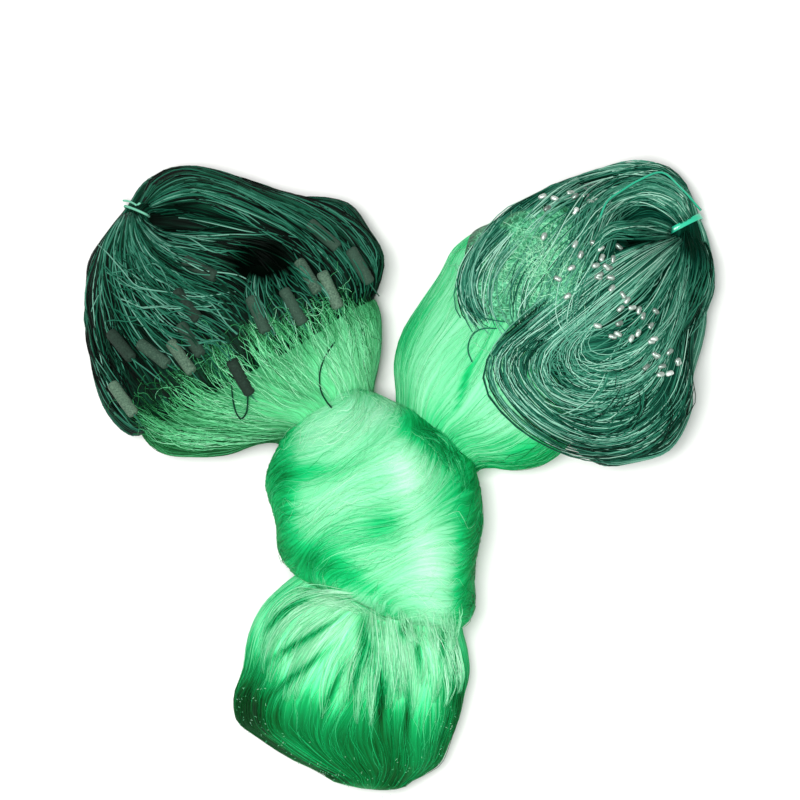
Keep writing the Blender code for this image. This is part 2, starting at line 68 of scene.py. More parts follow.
# The lines' diameters, loose and in a hank, where tension draws them thin.
FLOAT_LINE, LEAD_LINE = 1.3 * MM, 1.0 * MM
FLOAT_TURN, LEAD_TURN = 0.8 * FLOAT_LINE, 0.85 * LEAD_LINE
FLOAT_HALF, FLOAT_RADIUS = 15 * MM, 4.5 * MM
SINKER_HALF, SINKER_RADIUS = 3.1 * MM, 1.9 * MM
STRAP_WIDTH, STRAP_THICKNESS, TIE_CORD = 4.5 * MM, 1.2 * MM, 2.0 * MM
TIE_GAP = 1.6 * MM  # between a hank's neck and what ties it
# One thread of the netting is about 0.2 mm thick, too fine to show: a drawn one stands for a few.
FIBRE = 0.45 * MM
LOOSE_FIBRE = (0.25 * MM, 0.45 * MM)
FLYAWAY = (0.8, 3.2)  # how far the free end of a fly-away thread stands up, in millimetres
# Ground lower than this is taken for the bare floor by lines and by threads.
LINE_FLOOR, THREAD_FLOOR = 8 * MM, 10 * MM
SHEER = 13 * MM  # a step in the ground that no thread lies across
# A line may hang over the floor for this share of its run, but not at its last points.
OVERHANG, LAST_POINTS = 0.22, 5

# Where the plan of the tables lies in the frame: the first sinker's middle is known in both.
SHIFT = np.mean(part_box("sinker_01"), axis=0)[:2] - np.array([110, 194]) * MM


def placed(spots):
    """Plan places from a table, as metres in the frame: scaled, then moved by the shift."""
    return np.asarray(spots, float) * MM + SHIFT


def table(kind, *rows):
    """The rows of a table, each as a tuple of this kind, whose parts have names."""
    return tuple(kind(*row) for row in rows)


# A bundle's section: its middle, half its width, the way the width points, its height, and how far
# its underside is raised.
Section = namedtuple("Section", "x y half turn top raised", defaults=(0.0,))
WRAP = table(
    Section, (-41, 56, 17, 19, 60), (-41, 45, 40, 12, 74), (-36, 30, 60, 13, 86),
    (-25, 10, 75, 10, 94), (-18, -15, 80, 6, 98), (-16, -38, 77, 4, 99), (-14, -61, 73, 1, 97),
    (-10, -82, 68, -3, 93), (-3, -96, 58, -7, 88), (7, -108, 43, -10, 80),
)
TAIL = table(
    Section, (-16, -85, 59, -11, 62), (-20, -101, 69, -14, 70), (-26, -116, 78, -12, 75),
    (-30, -136, 83, -10, 77), (-34, -158, 82, -7, 76), (-39, -176, 83, -6, 73),
    (-41, -195, 78, -6, 68), (-36, -209, 67, -8, 60), (-28, -221, 49, -6, 50),
    (-22, -230, 30, -6, 40),
)
LEFT_ARM = table(
    Section, (-44, 20, 35, 32, 56), (-54, 40, 38, 30, 60), (-61, 52, 54, 34, 64),
    (-71, 58, 72, 38, 67), (-84, 67, 88, 39, 69), (-101, 76, 98, 39, 68), (-118, 89, 97, 40, 62),
    (-135, 101, 83, 43, 50), (-149, 106, 56, 48, 38),
)
RIGHT_ARM = table(
    Section, (24, 9, 29, -31, 60), (31, 31, 42, -39, 68), (42, 42, 60, -41, 75),
    (56, 56, 72, -42, 80), (72, 75, 76, -42, 82), (87, 99, 75, -41, 80), (96, 126, 69, -38, 75),
    (109, 153, 57, -33, 66), (119, 177, 38, -32, 54), (128, 190, 18, -32, 42),
)
FLOAT_FAN = table(
    Section, (-180, 166, 58, 24, 44), (-169, 162, 80, 31, 52), (-153, 154, 99, 34, 60),
    (-135, 139, 117, 34, 68), (-123, 117, 121, 33, 76), (-112, 99, 119, 32, 81),
    (-108, 83, 107, 31, 78), (-106, 76, 92, 29, 68),
)
FLOAT_SKEIN = table(
    Section, (-86, 187, 20, -105, 50), (-119, 200, 22, -98, 50), (-153, 211, 21, -90, 46),
    (-182, 211, 16, -62, 34, 3), (-200, 200, 8, -24, 20, 11), (-199, 181, 22, -12, 33, 9),
    (-205, 156, 32, -2, 46), (-204, 124, 29, 8, 50),
)
LEAD_FAN = table(
    Section, (198, 159, 34, -20, 48), (188, 142, 70, -59, 66), (172, 132, 99, -61, 80),
    (153, 113, 110, -63, 89), (126, 101, 106, -64, 90), (112, 94, 98, -65, 84),
    (104, 90, 84, -66, 72),
)
LEAD_SKEIN = table(
    Section, (138, 186, 26, 74, 56), (162, 203, 28, 80, 56), (186, 210, 25, 90, 52),
    (206, 203, 20, 60, 42, 4), (217, 189, 13, 28, 28, 11), (214, 170, 22, 4, 40, 9),
    (209, 142, 30, -4, 50), (198, 98, 24, -12, 56),
)
FLOAT_NECK = FLOAT_SKEIN[4]
LEAD_NECK = LEAD_SKEIN[4]

# Plan routes that the lines of a hank keep between: each row of points is one line of the lay.
FLOAT_UPPER = (
    ((-198, 206), (-190, 225), (-172, 235), (-146, 234), (-112, 225), (-74, 211), (-44, 200),
     (-22, 183), (-12, 164), (-15, 145)),
    ((-195, 204), (-183, 219), (-164, 228), (-140, 225), (-112, 214), (-78, 200), (-48, 183),
     (-30, 165), (-20, 148), (-22, 131)),
    ((-191, 203), (-176, 211), (-157, 217), (-134, 213), (-110, 204), (-82, 189), (-56, 168),
     (-42, 152), (-34, 138), (-33, 125)),
    ((-188, 201), (-170, 203), (-149, 202), (-128, 193), (-106, 182), (-82, 170), (-61, 154),
     (-51, 142), (-45, 131)),
)
FLOAT_MIDDLE = (
    ((-187, 198), (-168, 198), (-146, 192), (-123, 186), (-103, 181), (-82, 171), (-61, 148)),
    ((-198, 199), (-187, 187), (-164, 179), (-138, 175), (-116, 175), (-95, 171), (-77, 157),
     (-61, 135)),
    ((-200, 198), (-190, 185), (-172, 172), (-149, 166), (-130, 164), (-118, 162)),
    ((-202, 198), (-194, 183), (-176, 165), (-149, 154), (-127, 147), (-116, 139)),
)
FLOAT_LOWER = (
    ((-202, 198), (-194, 183), (-176, 165), (-149, 154), (-127, 147), (-110, 136), (-98, 120),
     (-89, 102)),
    ((-202, 198), (-196, 175), (-179, 153), (-153, 136), (-128, 125), (-112, 110), (-103, 95)),
    ((-204, 198), (-200, 170), (-188, 144), (-166, 123), (-140, 106), (-121, 90)),
    ((-206, 198), (-208, 166), (-200, 135), (-181, 106), (-157, 85), (-140, 70)),
    ((-208, 198), (-217, 165), (-215, 129), (-202, 99), (-179, 75), (-164, 60)),
    ((-211, 196), (-224, 165), (-230, 129), (-226, 93), (-211, 60), (-194, 39)),
    ((-213, 194), (-230, 160), (-236, 129), (-233, 91), (-223, 57), (-208, 35)),
)
FLOAT_CROSS = (
    ((-232, 151), (-209, 129), (-172, 106), (-134, 95), (-112, 75)),
    ((-228, 181), (-202, 157), (-164, 136), (-127, 129), (-98, 114)),
    ((-224, 106), (-194, 102), (-157, 95), (-127, 75)),
)
FLOAT_RADIAL = (
    ((-112, 150), (-115, 129), (-110, 106), (-103, 90)),
    ((-103, 145), (-98, 129), (-88, 112), (-80, 99)),
    ((-89, 150), (-80, 136), (-68, 125), (-61, 115)),
    ((-80, 157), (-65, 145), (-50, 129), (-40, 120)),
)
LEAD_RIM = (
    ((226, 195), (220, 217), (202, 234), (175, 236), (143, 228), (110, 214), (80, 199), (59, 177),
     (47, 153), (44, 129), (50, 112), (66, 98)),
    ((224, 193), (214, 214), (192, 227), (162, 226), (130, 216), (98, 199), (74, 178), (59, 157),
     (53, 135), (60, 116), (76, 102)),
)
LEAD_INNER = (
    ((222, 192), (211, 211), (188, 222), (160, 219), (139, 202), (130, 177), (121, 150), (107, 124),
     (92, 103)),
    ((218, 189), (203, 204), (182, 211), (161, 204), (149, 187), (143, 165), (134, 136), (122, 114),
     (112, 97)),
    ((214, 186), (197, 196), (181, 200), (167, 193), (160, 178), (155, 156), (149, 130),
     (143, 112)),
)
# Turns that stray furthest: round the whole end of the arm, and back in under the sinkers.
LEAD_ROUND = (
    ((226, 195), (218, 219), (196, 234), (166, 234), (132, 225), (102, 211), (76, 195), (55, 172),
     (44, 147), (47, 123), (62, 102), (83, 90)),
    ((224, 193), (213, 213), (188, 225), (158, 222), (124, 204), (97, 180), (76, 155), (67, 129),
     (76, 105), (98, 91)),
    ((221, 192), (207, 207), (182, 214), (155, 202), (134, 177), (115, 150), (101, 125), (100, 102),
     (113, 87), (136, 79)),
    ((218, 190), (202, 199), (182, 204), (166, 192), (155, 168), (143, 136), (134, 110), (139, 90),
     (155, 81)),
)
# Turns that come down from the tie, double back at the left and lie in the bowl below.
LEAD_HAIRPIN = (
    ((209, 180), (181, 169), (151, 153), (121, 130), (94, 110), (76, 94), (67, 79), (71, 57),
     (97, 30), (136, 13), (176, 14), (206, 35), (218, 63), (218, 99), (224, 135)),
    ((212, 178), (188, 165), (160, 144), (132, 121), (110, 102), (92, 90), (86, 76), (94, 58),
     (117, 37), (148, 25), (175, 31), (196, 52), (206, 82), (211, 112), (220, 144)),
    ((214, 177), (196, 160), (170, 136), (145, 114), (124, 97), (112, 85), (110, 73), (119, 60),
     (139, 51), (160, 51), (179, 61), (193, 82), (199, 108), (208, 136), (217, 157)),
    ((216, 174), (200, 156), (181, 135), (160, 117), (145, 105), (136, 94), (137, 84), (151, 79),
     (169, 84), (184, 97), (196, 120), (206, 144), (215, 162)),
)
# Turns that cross the eye below the tie.
LEAD_ACROSS = (
    ((206, 184), (190, 187), (175, 184), (158, 180), (148, 171), (143, 158), (140, 146)),
    ((205, 180), (190, 180), (175, 178), (158, 177), (147, 168), (141, 155), (137, 142)),
    ((204, 176), (190, 173), (175, 171), (158, 172), (145, 163), (137, 150), (131, 138)),
)
# Turns that come down from the tie and sweep away to the left, over the rest.
LEAD_SWEEP = (
    ((213, 175), (202, 152), (190, 130), (173, 113), (154, 102), (136, 97), (117, 97)),
    ((215, 173), (205, 142), (194, 116), (177, 95), (156, 83), (134, 79), (111, 82), (96, 92)),
    ((217, 173), (210, 137), (199, 106), (182, 82), (160, 66), (137, 61), (115, 64), (96, 75)),
    ((220, 173), (215, 132), (205, 97), (189, 66), (167, 47), (141, 39), (117, 42), (96, 56)),
)
LEAD_RIGHT = (
    ((226, 187), (238, 157), (232, 129), (221, 102), (217, 78), (221, 52), (212, 25), (192, 10)),
    ((221, 184), (229, 156), (221, 127), (209, 102), (203, 76), (205, 48), (192, 25), (166, 12)),
    ((217, 183), (218, 156), (208, 127), (193, 102), (184, 76), (181, 48), (160, 27), (132, 20)),
    ((214, 181), (206, 157), (190, 129), (172, 105), (160, 82), (151, 57), (132, 40), (112, 39)),
)
# How pale each float is: those that lie deeper among the turns are darker, and one is nearly black.
FLOAT_TONES = (0.47, 0.34, 0.45, 0.02, 0.30, 0.30, 0.38, 0.46, 0.28, 0.30, 0.10, 0.15, 0.06, 0.20)

# Where the netting is laced to the float line, and how its last meshes climb from the arm to there.
LACING = ((-205, 29), (-187, 48), (-157, 66), (-119, 91), (-92, 102), (-52, 117), (-19, 127))
LACED_LOCKS = (
    ((-10, 57), (-11, 84), (-14, 112), (-21, 136)),
    ((-28, 52), (-35, 78), (-44, 102), (-55, 128)),
    ((-48, 50), (-65, 72), (-82, 94), (-97, 114)),
    ((-63, 45), (-89, 60), (-112, 82), (-126, 103)),
    ((-74, 37), (-108, 45), (-142, 58), (-164, 78)),
    ((-80, 30), (-119, 31), (-164, 40), (-193, 60)),
    ((-86, 22), (-127, 18), (-174, 22), (-208, 38)),
)

# Locks of netting that stand out of the lay: they fan from the neck of the tail, and round the
# shoulder where the right arm goes into the wrap.
TAIL_LOCKS = (
    ((-37, -89), (-67, -85), (-93, -96), (-106, -124), (-110, -152)),
    ((-29, -93), (-56, -96), (-82, -111), (-97, -138), (-101, -172)),
    ((-26, -96), (-44, -111), (-63, -130), (-78, -158), (-84, -184)),
    ((-22, -100), (-29, -126), (-41, -150), (-48, -182)),
    ((-18, -102), (-14, -134), (-16, -164), (-18, -192)),
    ((1, -108), (7, -141), (8, -166), (6, -184)),
    ((23, -115), (31, -141), (33, -162), (28, -180)),
    ((42, -123), (47, -141), (48, -158), (44, -172)),
)
SHOULDER_LOCKS = (
    ((26, 34), (40, 25), (50, 10), (54, -6), (53, -22)),
    ((14, 34), (32, 25), (43, 8), (47, -8), (44, -24)),
    ((4, 33), (22, 21), (34, 4), (38, -8), (35, -22)),
)
# The hem where the wrap's last hoop comes out from behind the neck of the tail.
HEM_LOCKS = (
    ((-6, -112), (-40, -96), (-68, -88), (-86, -86)),
    ((-6, -113), (-37, -102), (-64, -98), (-86, -98)),
)
HEM_FRINGE = (
    ((-1, -99), (2, -113), (7, -126), (10, -138)),
    ((20, -103), (23, -116), (26, -128), (28, -140)),
    ((46, -99), (47, -113), (46, -125), (43, -134)),
)
TAIL_RIM = (
    (-118, -160), (-112, -190), (-90, -208), (-60, -222), (-25, -233), (10, -226), (34, -206),
    (46, -176),
)

# The dark pit between the float hank's turns: its middle, half its width, and its depth.
Pit = namedtuple("Pit", "x y half depth")
FLOAT_PIT = Pit(-103, 157, 20, 30)
# Loose turns low in the eye of each hank, where one looks down through it, painted nearly black as
# the shade deep in the eye.
FLOAT_EYE = table(
    Section, (-190, 193, 10, -86, 18), (-166, 192, 14, -92, 24), (-138, 186, 14, -100, 26),
)
LEAD_EYE = table(
    Section, (216, 183, 9, 92, 18), (196, 181, 13, 96, 24), (170, 176, 14, 100, 28),
)

# Loops of line that stray from a hank onto the netting, on the routes that the solids have.
LOOPS = {
    "float_line_loop": (
        (-48, 95), (-54, 86), (-58, 76), (-59, 68), (-58, 59), (-54, 51), (-50, 46),
    ),
    "float_line_bight": (
        (-124, 62), (-123, 52), (-121, 43), (-117, 38), (-113, 43), (-112, 51), (-111, 62),
    ),
    "lead_line_loop": ((43, 142), (44, 133), (47, 123), (55, 115), (66, 111), (78, 109)),
    "lead_line_hook": ((72, 104), (63, 104), (56, 101), (52, 95), (51, 87), (54, 79)),
}

# Sinkers beyond those that are solids: their middles and the way their length points.
MORE_SINKERS = (
    (107, 204, 20), (116, 202, -15), (131, 204, 40), (139, 205, 10), (146, 202, -30),
    (131, 192, 60), (144, 167, -20), (149, 163, 35), (158, 155, 80), (145, 150, 15),
    (153, 149, -40), (148, 143, 30), (156, 141, -10), (168, 124, 50), (177, 117, 75),
    (161, 99, -25), (188, 96, 10), (200, 87, 45), (200, 71, 20), (107, 172, 60), (117, 140, -20),
    (127, 148, 25), (134, 158, 70), (146, 105, -15), (163, 118, 40), (176, 100, 65), (190, 84, -30),
    (194, 76, 15), (207, 80, 80),
)
# The tape's free end, which stands up from the tie and lies back over the turns.
TAPE_END = ((229, 199), (213, 214), (198, 225), (180, 218), (166, 209), (155, 200), (148, 184))
# The tie cord's two free ends.
CORD_ENDS = (
    ((-199, 204, 23), (-194, 207, 25), (-189, 207, 26), (-185, 205, 27)),
    ((-200, 204, 22), (-203, 206, 19), (-207, 208, 15), (-211, 209, 11)),
)

# Patches of painted light and shade on the gathered netting: where the tone is painted paler, as a
# highlight on folds that catch the light, or deeper, as shade in hollows and down its lower parts.
# Each gives the middle of the patch, its reach to each side and along, the way the reach points,
# and how much paler it is.
Patch = namedtuple("Patch", "x y reach along turn paler")
WRAP_PATCHES = table(
    Patch, (-50, 28, 26, 15, 18, 0.26), (-18, 42, 18, 12, 0, 0.18), (16, 32, 18, 18, 0, -0.52),
    (37, 14, 15, 12, 0, -0.34), (4, -2, 12, 14, 10, 0.16), (16, -48, 13, 56, 14, 0.24),
    (-50, -22, 26, 14, 6, 0.10), (-88, -14, 12, 46, 0, -0.28), (-66, -2, 22, 6, 10, -0.22),
    (-54, -72, 36, 13, -22, -0.30), (-12, -40, 14, 8, 20, -0.14), (-20, -88, 24, 7, -22, -0.12),
    (57, -44, 15, 56, -3, -0.33), (50, -98, 15, 17, 0, -0.24),
)
TAIL_PATCHES = table(
    Patch, (-52, -116, 38, 20, 26, 0.30), (-34, -156, 24, 12, 34, 0.20), (3, -138, 13, 32, 4, 0.30),
    (32, -136, 10, 24, 0, 0.22), (-34, -206, 100, 33, -5, -0.50), (-40, -232, 100, 16, -6, -0.30),
    (-106, -178, 24, 32, 5, -0.46), (48, -176, 14, 40, 6, -0.34), (-104, -114, 9, 26, 16, 0.16),
)
# Painted shade in the gaps between the tail's locks.
TAIL_GAP_SHADE = table(
    Patch, (-24, -126, 6, 24, 8, -0.42), (-68, -124, 28, 2.6, 31, -0.60),
    (-78, -100, 15, 2.4, 28, -0.50), (-72, -148, 26, 2.6, 38, -0.50),
    (-92, -112, 12, 2.4, 42, -0.40), (-30, -148, 2.8, 20, -14, -0.45),
    (-48, -160, 2.6, 16, -24, -0.45), (3, -118, 3.4, 7, 0, -0.65), (14, -134, 2.6, 15, 6, -0.60),
    (32, -132, 2.6, 11, -5, -0.50), (-13, -168, 3, 20, -3, -0.55), (6, -180, 2.6, 20, -4, -0.40),
)
ARM_PATCHES = table(
    Patch, (-42, 80, 28, 34, 20, 0.18), (-52, 54, 10, 14, 10, -0.06), (-100, 10, 60, 9, 6, -0.08),
    (-168, 56, 46, 15, 24, -0.42), (-118, 88, 44, 10, 30, -0.28), (-150, 24, 54, 15, 14, -0.32),
    (-100, 10, 70, 15, 8, -0.22), (26, 88, 18, 36, -34, 0.10), (-72, 62, 18, 12, 30, -0.10),
    (70, 44, 26, 18, -40, 0.10), (28, 28, 32, 20, -40, -0.16), (100, 10, 36, 14, -20, -0.22),
    (48, 62, 2.5, 17, -16, -0.30),
)
# Painted shade on the float line's hank: it is darkest in its pit, at its far end, and between the
# floats below the pit.
FLOAT_SHADE_PATCHES = table(
    Patch, (-99, 161, 26, 16, 0, -0.9), (-44, 200, 54, 16, -22, -0.12),
    (-82, 128, 34, 13, 26, -0.20),
)
# Painted shade on the lead line's hank: it is dark under its tie and in its eye, and down its far
# lobe.
LEAD_PATCHES = table(
    Patch, (222, 170, 13, 16, -10, -0.60), (180, 170, 15, 5, 4, -0.25),
    (204, 40, 18, 26, -10, -0.20), (140, 66, 46, 16, 20, 0.08),
)
# The lead line's end of the arm, where the netting shows through the turns.
SHOWN_THROUGH = Patch(97, 153, 54, 44, 30, 0.0)


def through(points, steps):
    """The Catmull-Rom curve through the points, with this many samples from each to the next."""
    points = np.asarray(points, float)
    ends = np.vstack([2 * points[0] - points[1], points, 2 * points[-1] - points[-2]])
    a, b, c, d = (ends[i : len(ends) - 3 + i, None] for i in range(4))
    t = np.linspace(0, 1, steps, endpoint=False)[None, :, None]
    cubic = (2 * a - 5 * b + 4 * c - d) * t**2 + (3 * b - a - 3 * c + d) * t**3
    spans = 0.5 * (2 * b + (c - a) * t + cubic)
    return np.vstack([spans.reshape(-1, points.shape[1]), points[-1:]])


def even(points, count):
    """The Catmull-Rom curve through the points, sampled at even steps of its length."""
    dense = through(points, 16)
    length = np.concatenate([[0], np.cumsum(np.linalg.norm(np.diff(dense, axis=0), axis=1))])
    at = np.linspace(0, length[-1], count)
    return np.column_stack([np.interp(at, length, column) for column in dense.T])


def cloudy(rng, shape, knots):
    """Smooth noise from -1 to 1: random values at the knots, eased from each to the next by
    3 t squared less 2 t cubed, along both of its ways."""
    values = rng.uniform(-1, 1, knots)
    weights = []
    for size, knot in zip(shape, knots):
        at = np.linspace(0, knot - 1, size)
        low = np.minimum(at.astype(int), knot - 2) if knot > 1 else np.zeros(size, int)
        ease = np.clip(at - low, 0, 1)
        ease = ease * ease * (3 - 2 * ease)
        weight = np.zeros((size, max(knot, 2)))
        weight[np.arange(size), low] = 1 - ease
        weight[np.arange(size), low + 1] += ease
        weights.append(weight[:, :knot])
    return weights[0] @ values @ weights[1].T


def bump_at(value, middle, width):
    """A bell: e to the minus square of how many widths the value is from the middle."""
    return np.exp(-(((value - middle) / width) ** 2))


def superellipse(theta):
    """How far a rounded section's rim lies to the side and up at an angle, in half widths and half
    heights: the cosine and the sine, each to the power 2 / SECTION_POWER with its sign kept."""
    waves = np.cos(theta), np.sin(theta)
    return [np.sign(wave) * np.abs(wave) ** (2 / SECTION_POWER) for wave in waves]


def crease(u, theta, at, angle, length, width):
    """A soft trough about one place on a bundle, 1 at its bottom: a bell along the bundle times a
    bell round it."""
    turn = np.angle(np.exp(1j * (theta - np.radians(angle))))
    return bump_at(u, at, length) * bump_at(turn, 0, np.radians(width))


def wrap_relief(u, theta):
    """Three broad hoops: a cosine along the wrap, less the creases where the right arm tucks in
    and where the shoulder begins."""
    hoops = np.cos(2 * np.pi * (3.2 * u + 0.12 * np.cos(theta)))
    tuck = crease(u, theta, 0.34, 42, 0.10, 26)
    shoulder = crease(u, theta, 0.30, 150, 0.12, 30)
    return (2.0 * hoops - 8.0 * tuck - 3.0 * shoulder) * MM


def tail_relief(u, theta):
    """Lengthwise folds: two cosines of the angle, which grow from the neck to the free end, less
    three creases that cut in deep."""
    folds = 0.6 * np.cos(5 * theta + 2.0 * u + 0.8) + 0.4 * np.cos(8 * theta - 3.0 * u + 2.1)
    deep = crease(u, theta, 0.35, 62, 0.30, 9) + crease(u, theta, 0.55, 84, 0.40, 9)
    deep = deep + 0.8 * crease(u, theta, 0.25, 125, 0.22, 10)
    return ((1.2 + 3.0 * u) * folds - 6.5 * deep) * MM


def arm_relief(u, theta):
    """Shallow lengthwise folds: two cosines of the angle that turn a little along the arm."""
    return (0.9 * np.cos(6 * theta + 2.5 * u + 0.4) + 0.5 * np.cos(3 * theta - 3.5 * u + 1.2)) * MM


def hank_relief(u, theta):
    """The bunches of line that lie side by side across a hank: two cosines of the angle, which
    turn along it and fade to its ends by a sine."""
    bunches = 1.2 * np.cos(6 * theta + 5.0 * u + 1.0) + 0.8 * np.cos(4 * theta - 6.0 * u + 0.3)
    return bunches * MM * np.sin(np.pi * np.clip(u, 0, 1))


def no_relief(u, theta):
    """A smooth bundle."""
    return np.zeros(np.broadcast(u, theta).shape)


class Bundle:
    """A rounded bundle: upright superellipse sections lofted along a path, with a round nose at
    each end, where they shrink by a cosine.

    A point is found from s, its share of the bundle's length from nose to nose, and theta, its
    angle round the section, from the side that the section's width points to, over the top."""

    NOSE_ROWS = 12

    def __init__(self, sections, nose, relief=no_relief):
        rows = through(sections, 16)
        turn = np.radians(rows[:, 3])
        along = np.column_stack([-np.sin(turn), np.cos(turn)])
        along *= np.sign(np.sum(np.gradient(rows[:, :2], axis=0) * along, axis=1))[:, None]
        centre = placed(rows[:, :2])
        u = np.linspace(0, 1, len(rows))
        bend = np.radians(np.linspace(86, 0, self.NOSE_ROWS, endpoint=False))
        start = centre[0] - along[0] * nose * np.sin(bend)[:, None]
        stop = (centre[-1] + along[-1] * nose * np.sin(bend)[:, None])[::-1]
        scale = np.concatenate([np.cos(bend), np.ones(len(rows)), np.cos(bend)[::-1]])
        pad = (self.NOSE_ROWS, self.NOSE_ROWS)
        half, turn, top, raised = (
            np.pad(column, pad, mode="edge")
            for column in (rows[:, 2] * MM, turn, rows[:, 4] * MM, rows[:, 5] * MM)
        )
        x, y = np.vstack([start, centre, stop]).T
        u = np.pad(u, pad, mode="edge")
        low = raised - SINK
        self.columns = dict(x=x, y=y, turn=turn, half=half, top=top, low=low, scale=scale, u=u)
        self.relief = relief
        self.s = np.linspace(0, 1, len(x))
        crest = self.at(self.s, np.full(len(x), np.radians(65)))
        length = np.concatenate([[0], np.cumsum(np.linalg.norm(np.diff(crest, axis=0), axis=1))])
        self.s = length / length[-1]
        self.length = length[-1]
        self.radius = (self.columns["half"].max() + self.columns["top"].max() / 2) / 2

    def at(self, s, theta, lift=0.0):
        """The point at share s and angle theta: on the superellipse between its neighbouring
        sections, pushed outward by the relief and by lift, and never underground."""
        pick = {name: np.interp(s, self.s, column) for name, column in self.columns.items()}
        push = self.relief(pick["u"], theta) + lift
        side, up = superellipse(theta)
        side = (pick["half"] * side + push * np.cos(theta)) * pick["scale"]
        up = ((pick["top"] - pick["low"]) / 2 * up + push * np.sin(theta)) * pick["scale"]
        x = pick["x"] + np.cos(pick["turn"]) * side
        y = pick["y"] + np.sin(pick["turn"]) * side
        z = (pick["top"] + pick["low"]) / 2 + up
        return np.stack([x, y, np.maximum(z, 0.0)], axis=-1)


def hooped(q, p):
    """The lay of the wrap: a thread keeps its share q and goes round, slanting by the cosine of
    its angle and swaying by two sines, both of which fade to the wrap's ends."""
    slant = 0.62 * q * (1 - q)
    sway = q * (1 - q) * (0.09 * np.sin(3 * p + 7 * q + 1.0) + 0.06 * np.sin(5 * p - 13 * q + 2.0))
    return q - slant * np.cos(p) + sway, p + 0 * q


def fanned(q, p):
    """The lay of the tail: threads run lengthwise, drawn together at the neck by the sine of their
    angle and spreading from it, with two sines as their sway."""
    gather = 0.86 * (1 - np.clip(p / 0.75, 0, 1)) ** 1.3
    sway = 0.05 * np.sin(6 * p + 5 * q) + 0.04 * np.sin(11 * p - 9 * q + 1.3)
    return p + 0 * q, q - gather * np.sin(q - np.radians(84)) + sway


def lengthwise(q, p):
    """The lay of an arm or a hank: threads run along it, each near its own angle, with two sines
    as their sway."""
    return p + 0 * q, q + 0.03 * np.sin(7 * p + 6 * q) + 0.02 * np.sin(13 * p - 11 * q + 0.7)


def blurred(grid, take=np.mean):
    """A grid, each cell replaced by the mean or another measure of it and its neighbours."""
    views = np.lib.stride_tricks.sliding_window_view(np.pad(grid, 1, mode="edge"), (3, 3))
    return take(views, axis=(2, 3))


class Ground:
    """The height of whatever lies uppermost, on a square grid of cells: what strands are laid on.

    Its heights are eased from cell to cell. Its bare heights never are, so they end where the net
    ends. Its tone says how pale whatever lies uppermost is.
    """

    CELL = 1.0 * MM

    def __init__(self, low, high):
        self.low = np.array(low[:2])
        self.z = np.zeros(np.ceil((np.array(high[:2]) - self.low) / self.CELL).astype(int) + 1)
        self.bare = np.zeros_like(self.z)
        self.tone = np.zeros_like(self.z)

    def cells(self, points):
        """The grid's cell under each point, and which points have one."""
        cell = ((points[:, :2] - self.low) / self.CELL).round().astype(int)
        inside = ((cell >= 0) & (cell < self.z.shape)).all(axis=1)
        return tuple(cell[inside].T), inside

    def pile(self, points):
        """Raises the grid to these points where they are higher."""
        points = points.reshape(-1, 3)
        cell, inside = self.cells(points)
        for grid in (self.z, self.bare):
            np.maximum.at(grid, cell, points[inside, 2])

    def paint(self, shapes):
        """Keeps the mean tone of what lies uppermost in each cell, spread over its neighbours."""
        total, weight = np.zeros_like(self.z), np.full_like(self.z, 1e-6)
        for shape in shapes:
            cell, inside = self.cells(shape.points)
            top = shape.points[inside, 2] > self.z[cell] - 4 * MM
            np.add.at(total, cell, shape.tone[inside] * top)
            np.add.at(weight, cell, top)
        for _ in range(3):
            total, weight = (blurred(grid) for grid in (total, weight))
        self.tone = total / weight

    def cover(self, bundle, shape=lambda points: points):
        """Raises the grid to a bundle's smooth skin, sampled more finely than the grid."""
        s, theta = np.meshgrid(np.linspace(0, 1, 320), np.linspace(0, 2 * np.pi, 420))
        self.pile(shape(bundle.at(s, theta)))

    def ease(self, passes, fill=0):
        """Closes pinholes by the highest neighbour, then averages each cell with its neighbours."""
        for number in range(fill + passes):
            self.z = blurred(self.z, np.max if number < fill else np.mean)

    def at(self, x, y, grid=None):
        """The height at places, or another grid's value, shared between the four nearest cells."""
        grid = self.z if grid is None else grid
        u = np.clip((x - self.low[0]) / self.CELL, 0, self.z.shape[0] - 1.001)
        v = np.clip((y - self.low[1]) / self.CELL, 0, self.z.shape[1] - 1.001)
        i, j = u.astype(int), v.astype(int)
        u, v = u - i, v - j
        near = grid[i, j] * (1 - v) + grid[i, j + 1] * v
        far = grid[i + 1, j] * (1 - v) + grid[i + 1, j + 1] * v
        return near * (1 - u) + far * u

    def tone_at(self, paths):
        """How pale whatever lies uppermost is under each point of the paths."""
        return self.at(paths[..., 0], paths[..., 1], self.tone)


def paler(points, patches):
    """How much paler each point is painted, as a highlight where a patch is paler and as shade
    where it is deeper: the sum of the patches' bells over the plan.
    """
    total = np.zeros(points.shape[:-1])
    for patch in patches:
        turn = np.radians(patch.turn)
        x, y = np.moveaxis(points[..., :2] - placed((patch.x, patch.y)), -1, 0)
        aside = x * np.cos(turn) + y * np.sin(turn)
        ahead = y * np.cos(turn) - x * np.sin(turn)
        bells = bump_at(aside, 0, patch.reach * MM) * bump_at(ahead, 0, patch.along * MM)
        total += patch.paler * bells
    return total


# A mesh before it is made: faces are index arrays, one for each number of corners. Tone is how pale
# each point is, place its spot on the flat map, and lay its place round and along its threads.
Shape = namedtuple("Shape", "points faces tone place lay")


def tube_faces(count, rows, columns):
    """Faces of many tubes at once: quads between the rings of each, whose columns join up, and a
    fan of triangles about the tip at either end. The tips are numbered after all the rings."""
    index = np.arange(count * rows * columns).reshape(count, rows, columns)
    after = np.roll(index, -1, axis=2)
    quads = np.stack([index[:, :-1], after[:, :-1], after[:, 1:], index[:, 1:]], axis=-1)
    tip = (index.size + np.arange(count * 2)).reshape(count, 2, 1) + np.zeros(columns, int)
    start = np.stack([after[:, 0], index[:, 0], tip[:, 0]], axis=-1)
    stop = np.stack([index[:, -1], after[:, -1], tip[:, 1]], axis=-1)
    return [quads.reshape(-1, 4), np.vstack([start, stop]).reshape(-1, 3)]


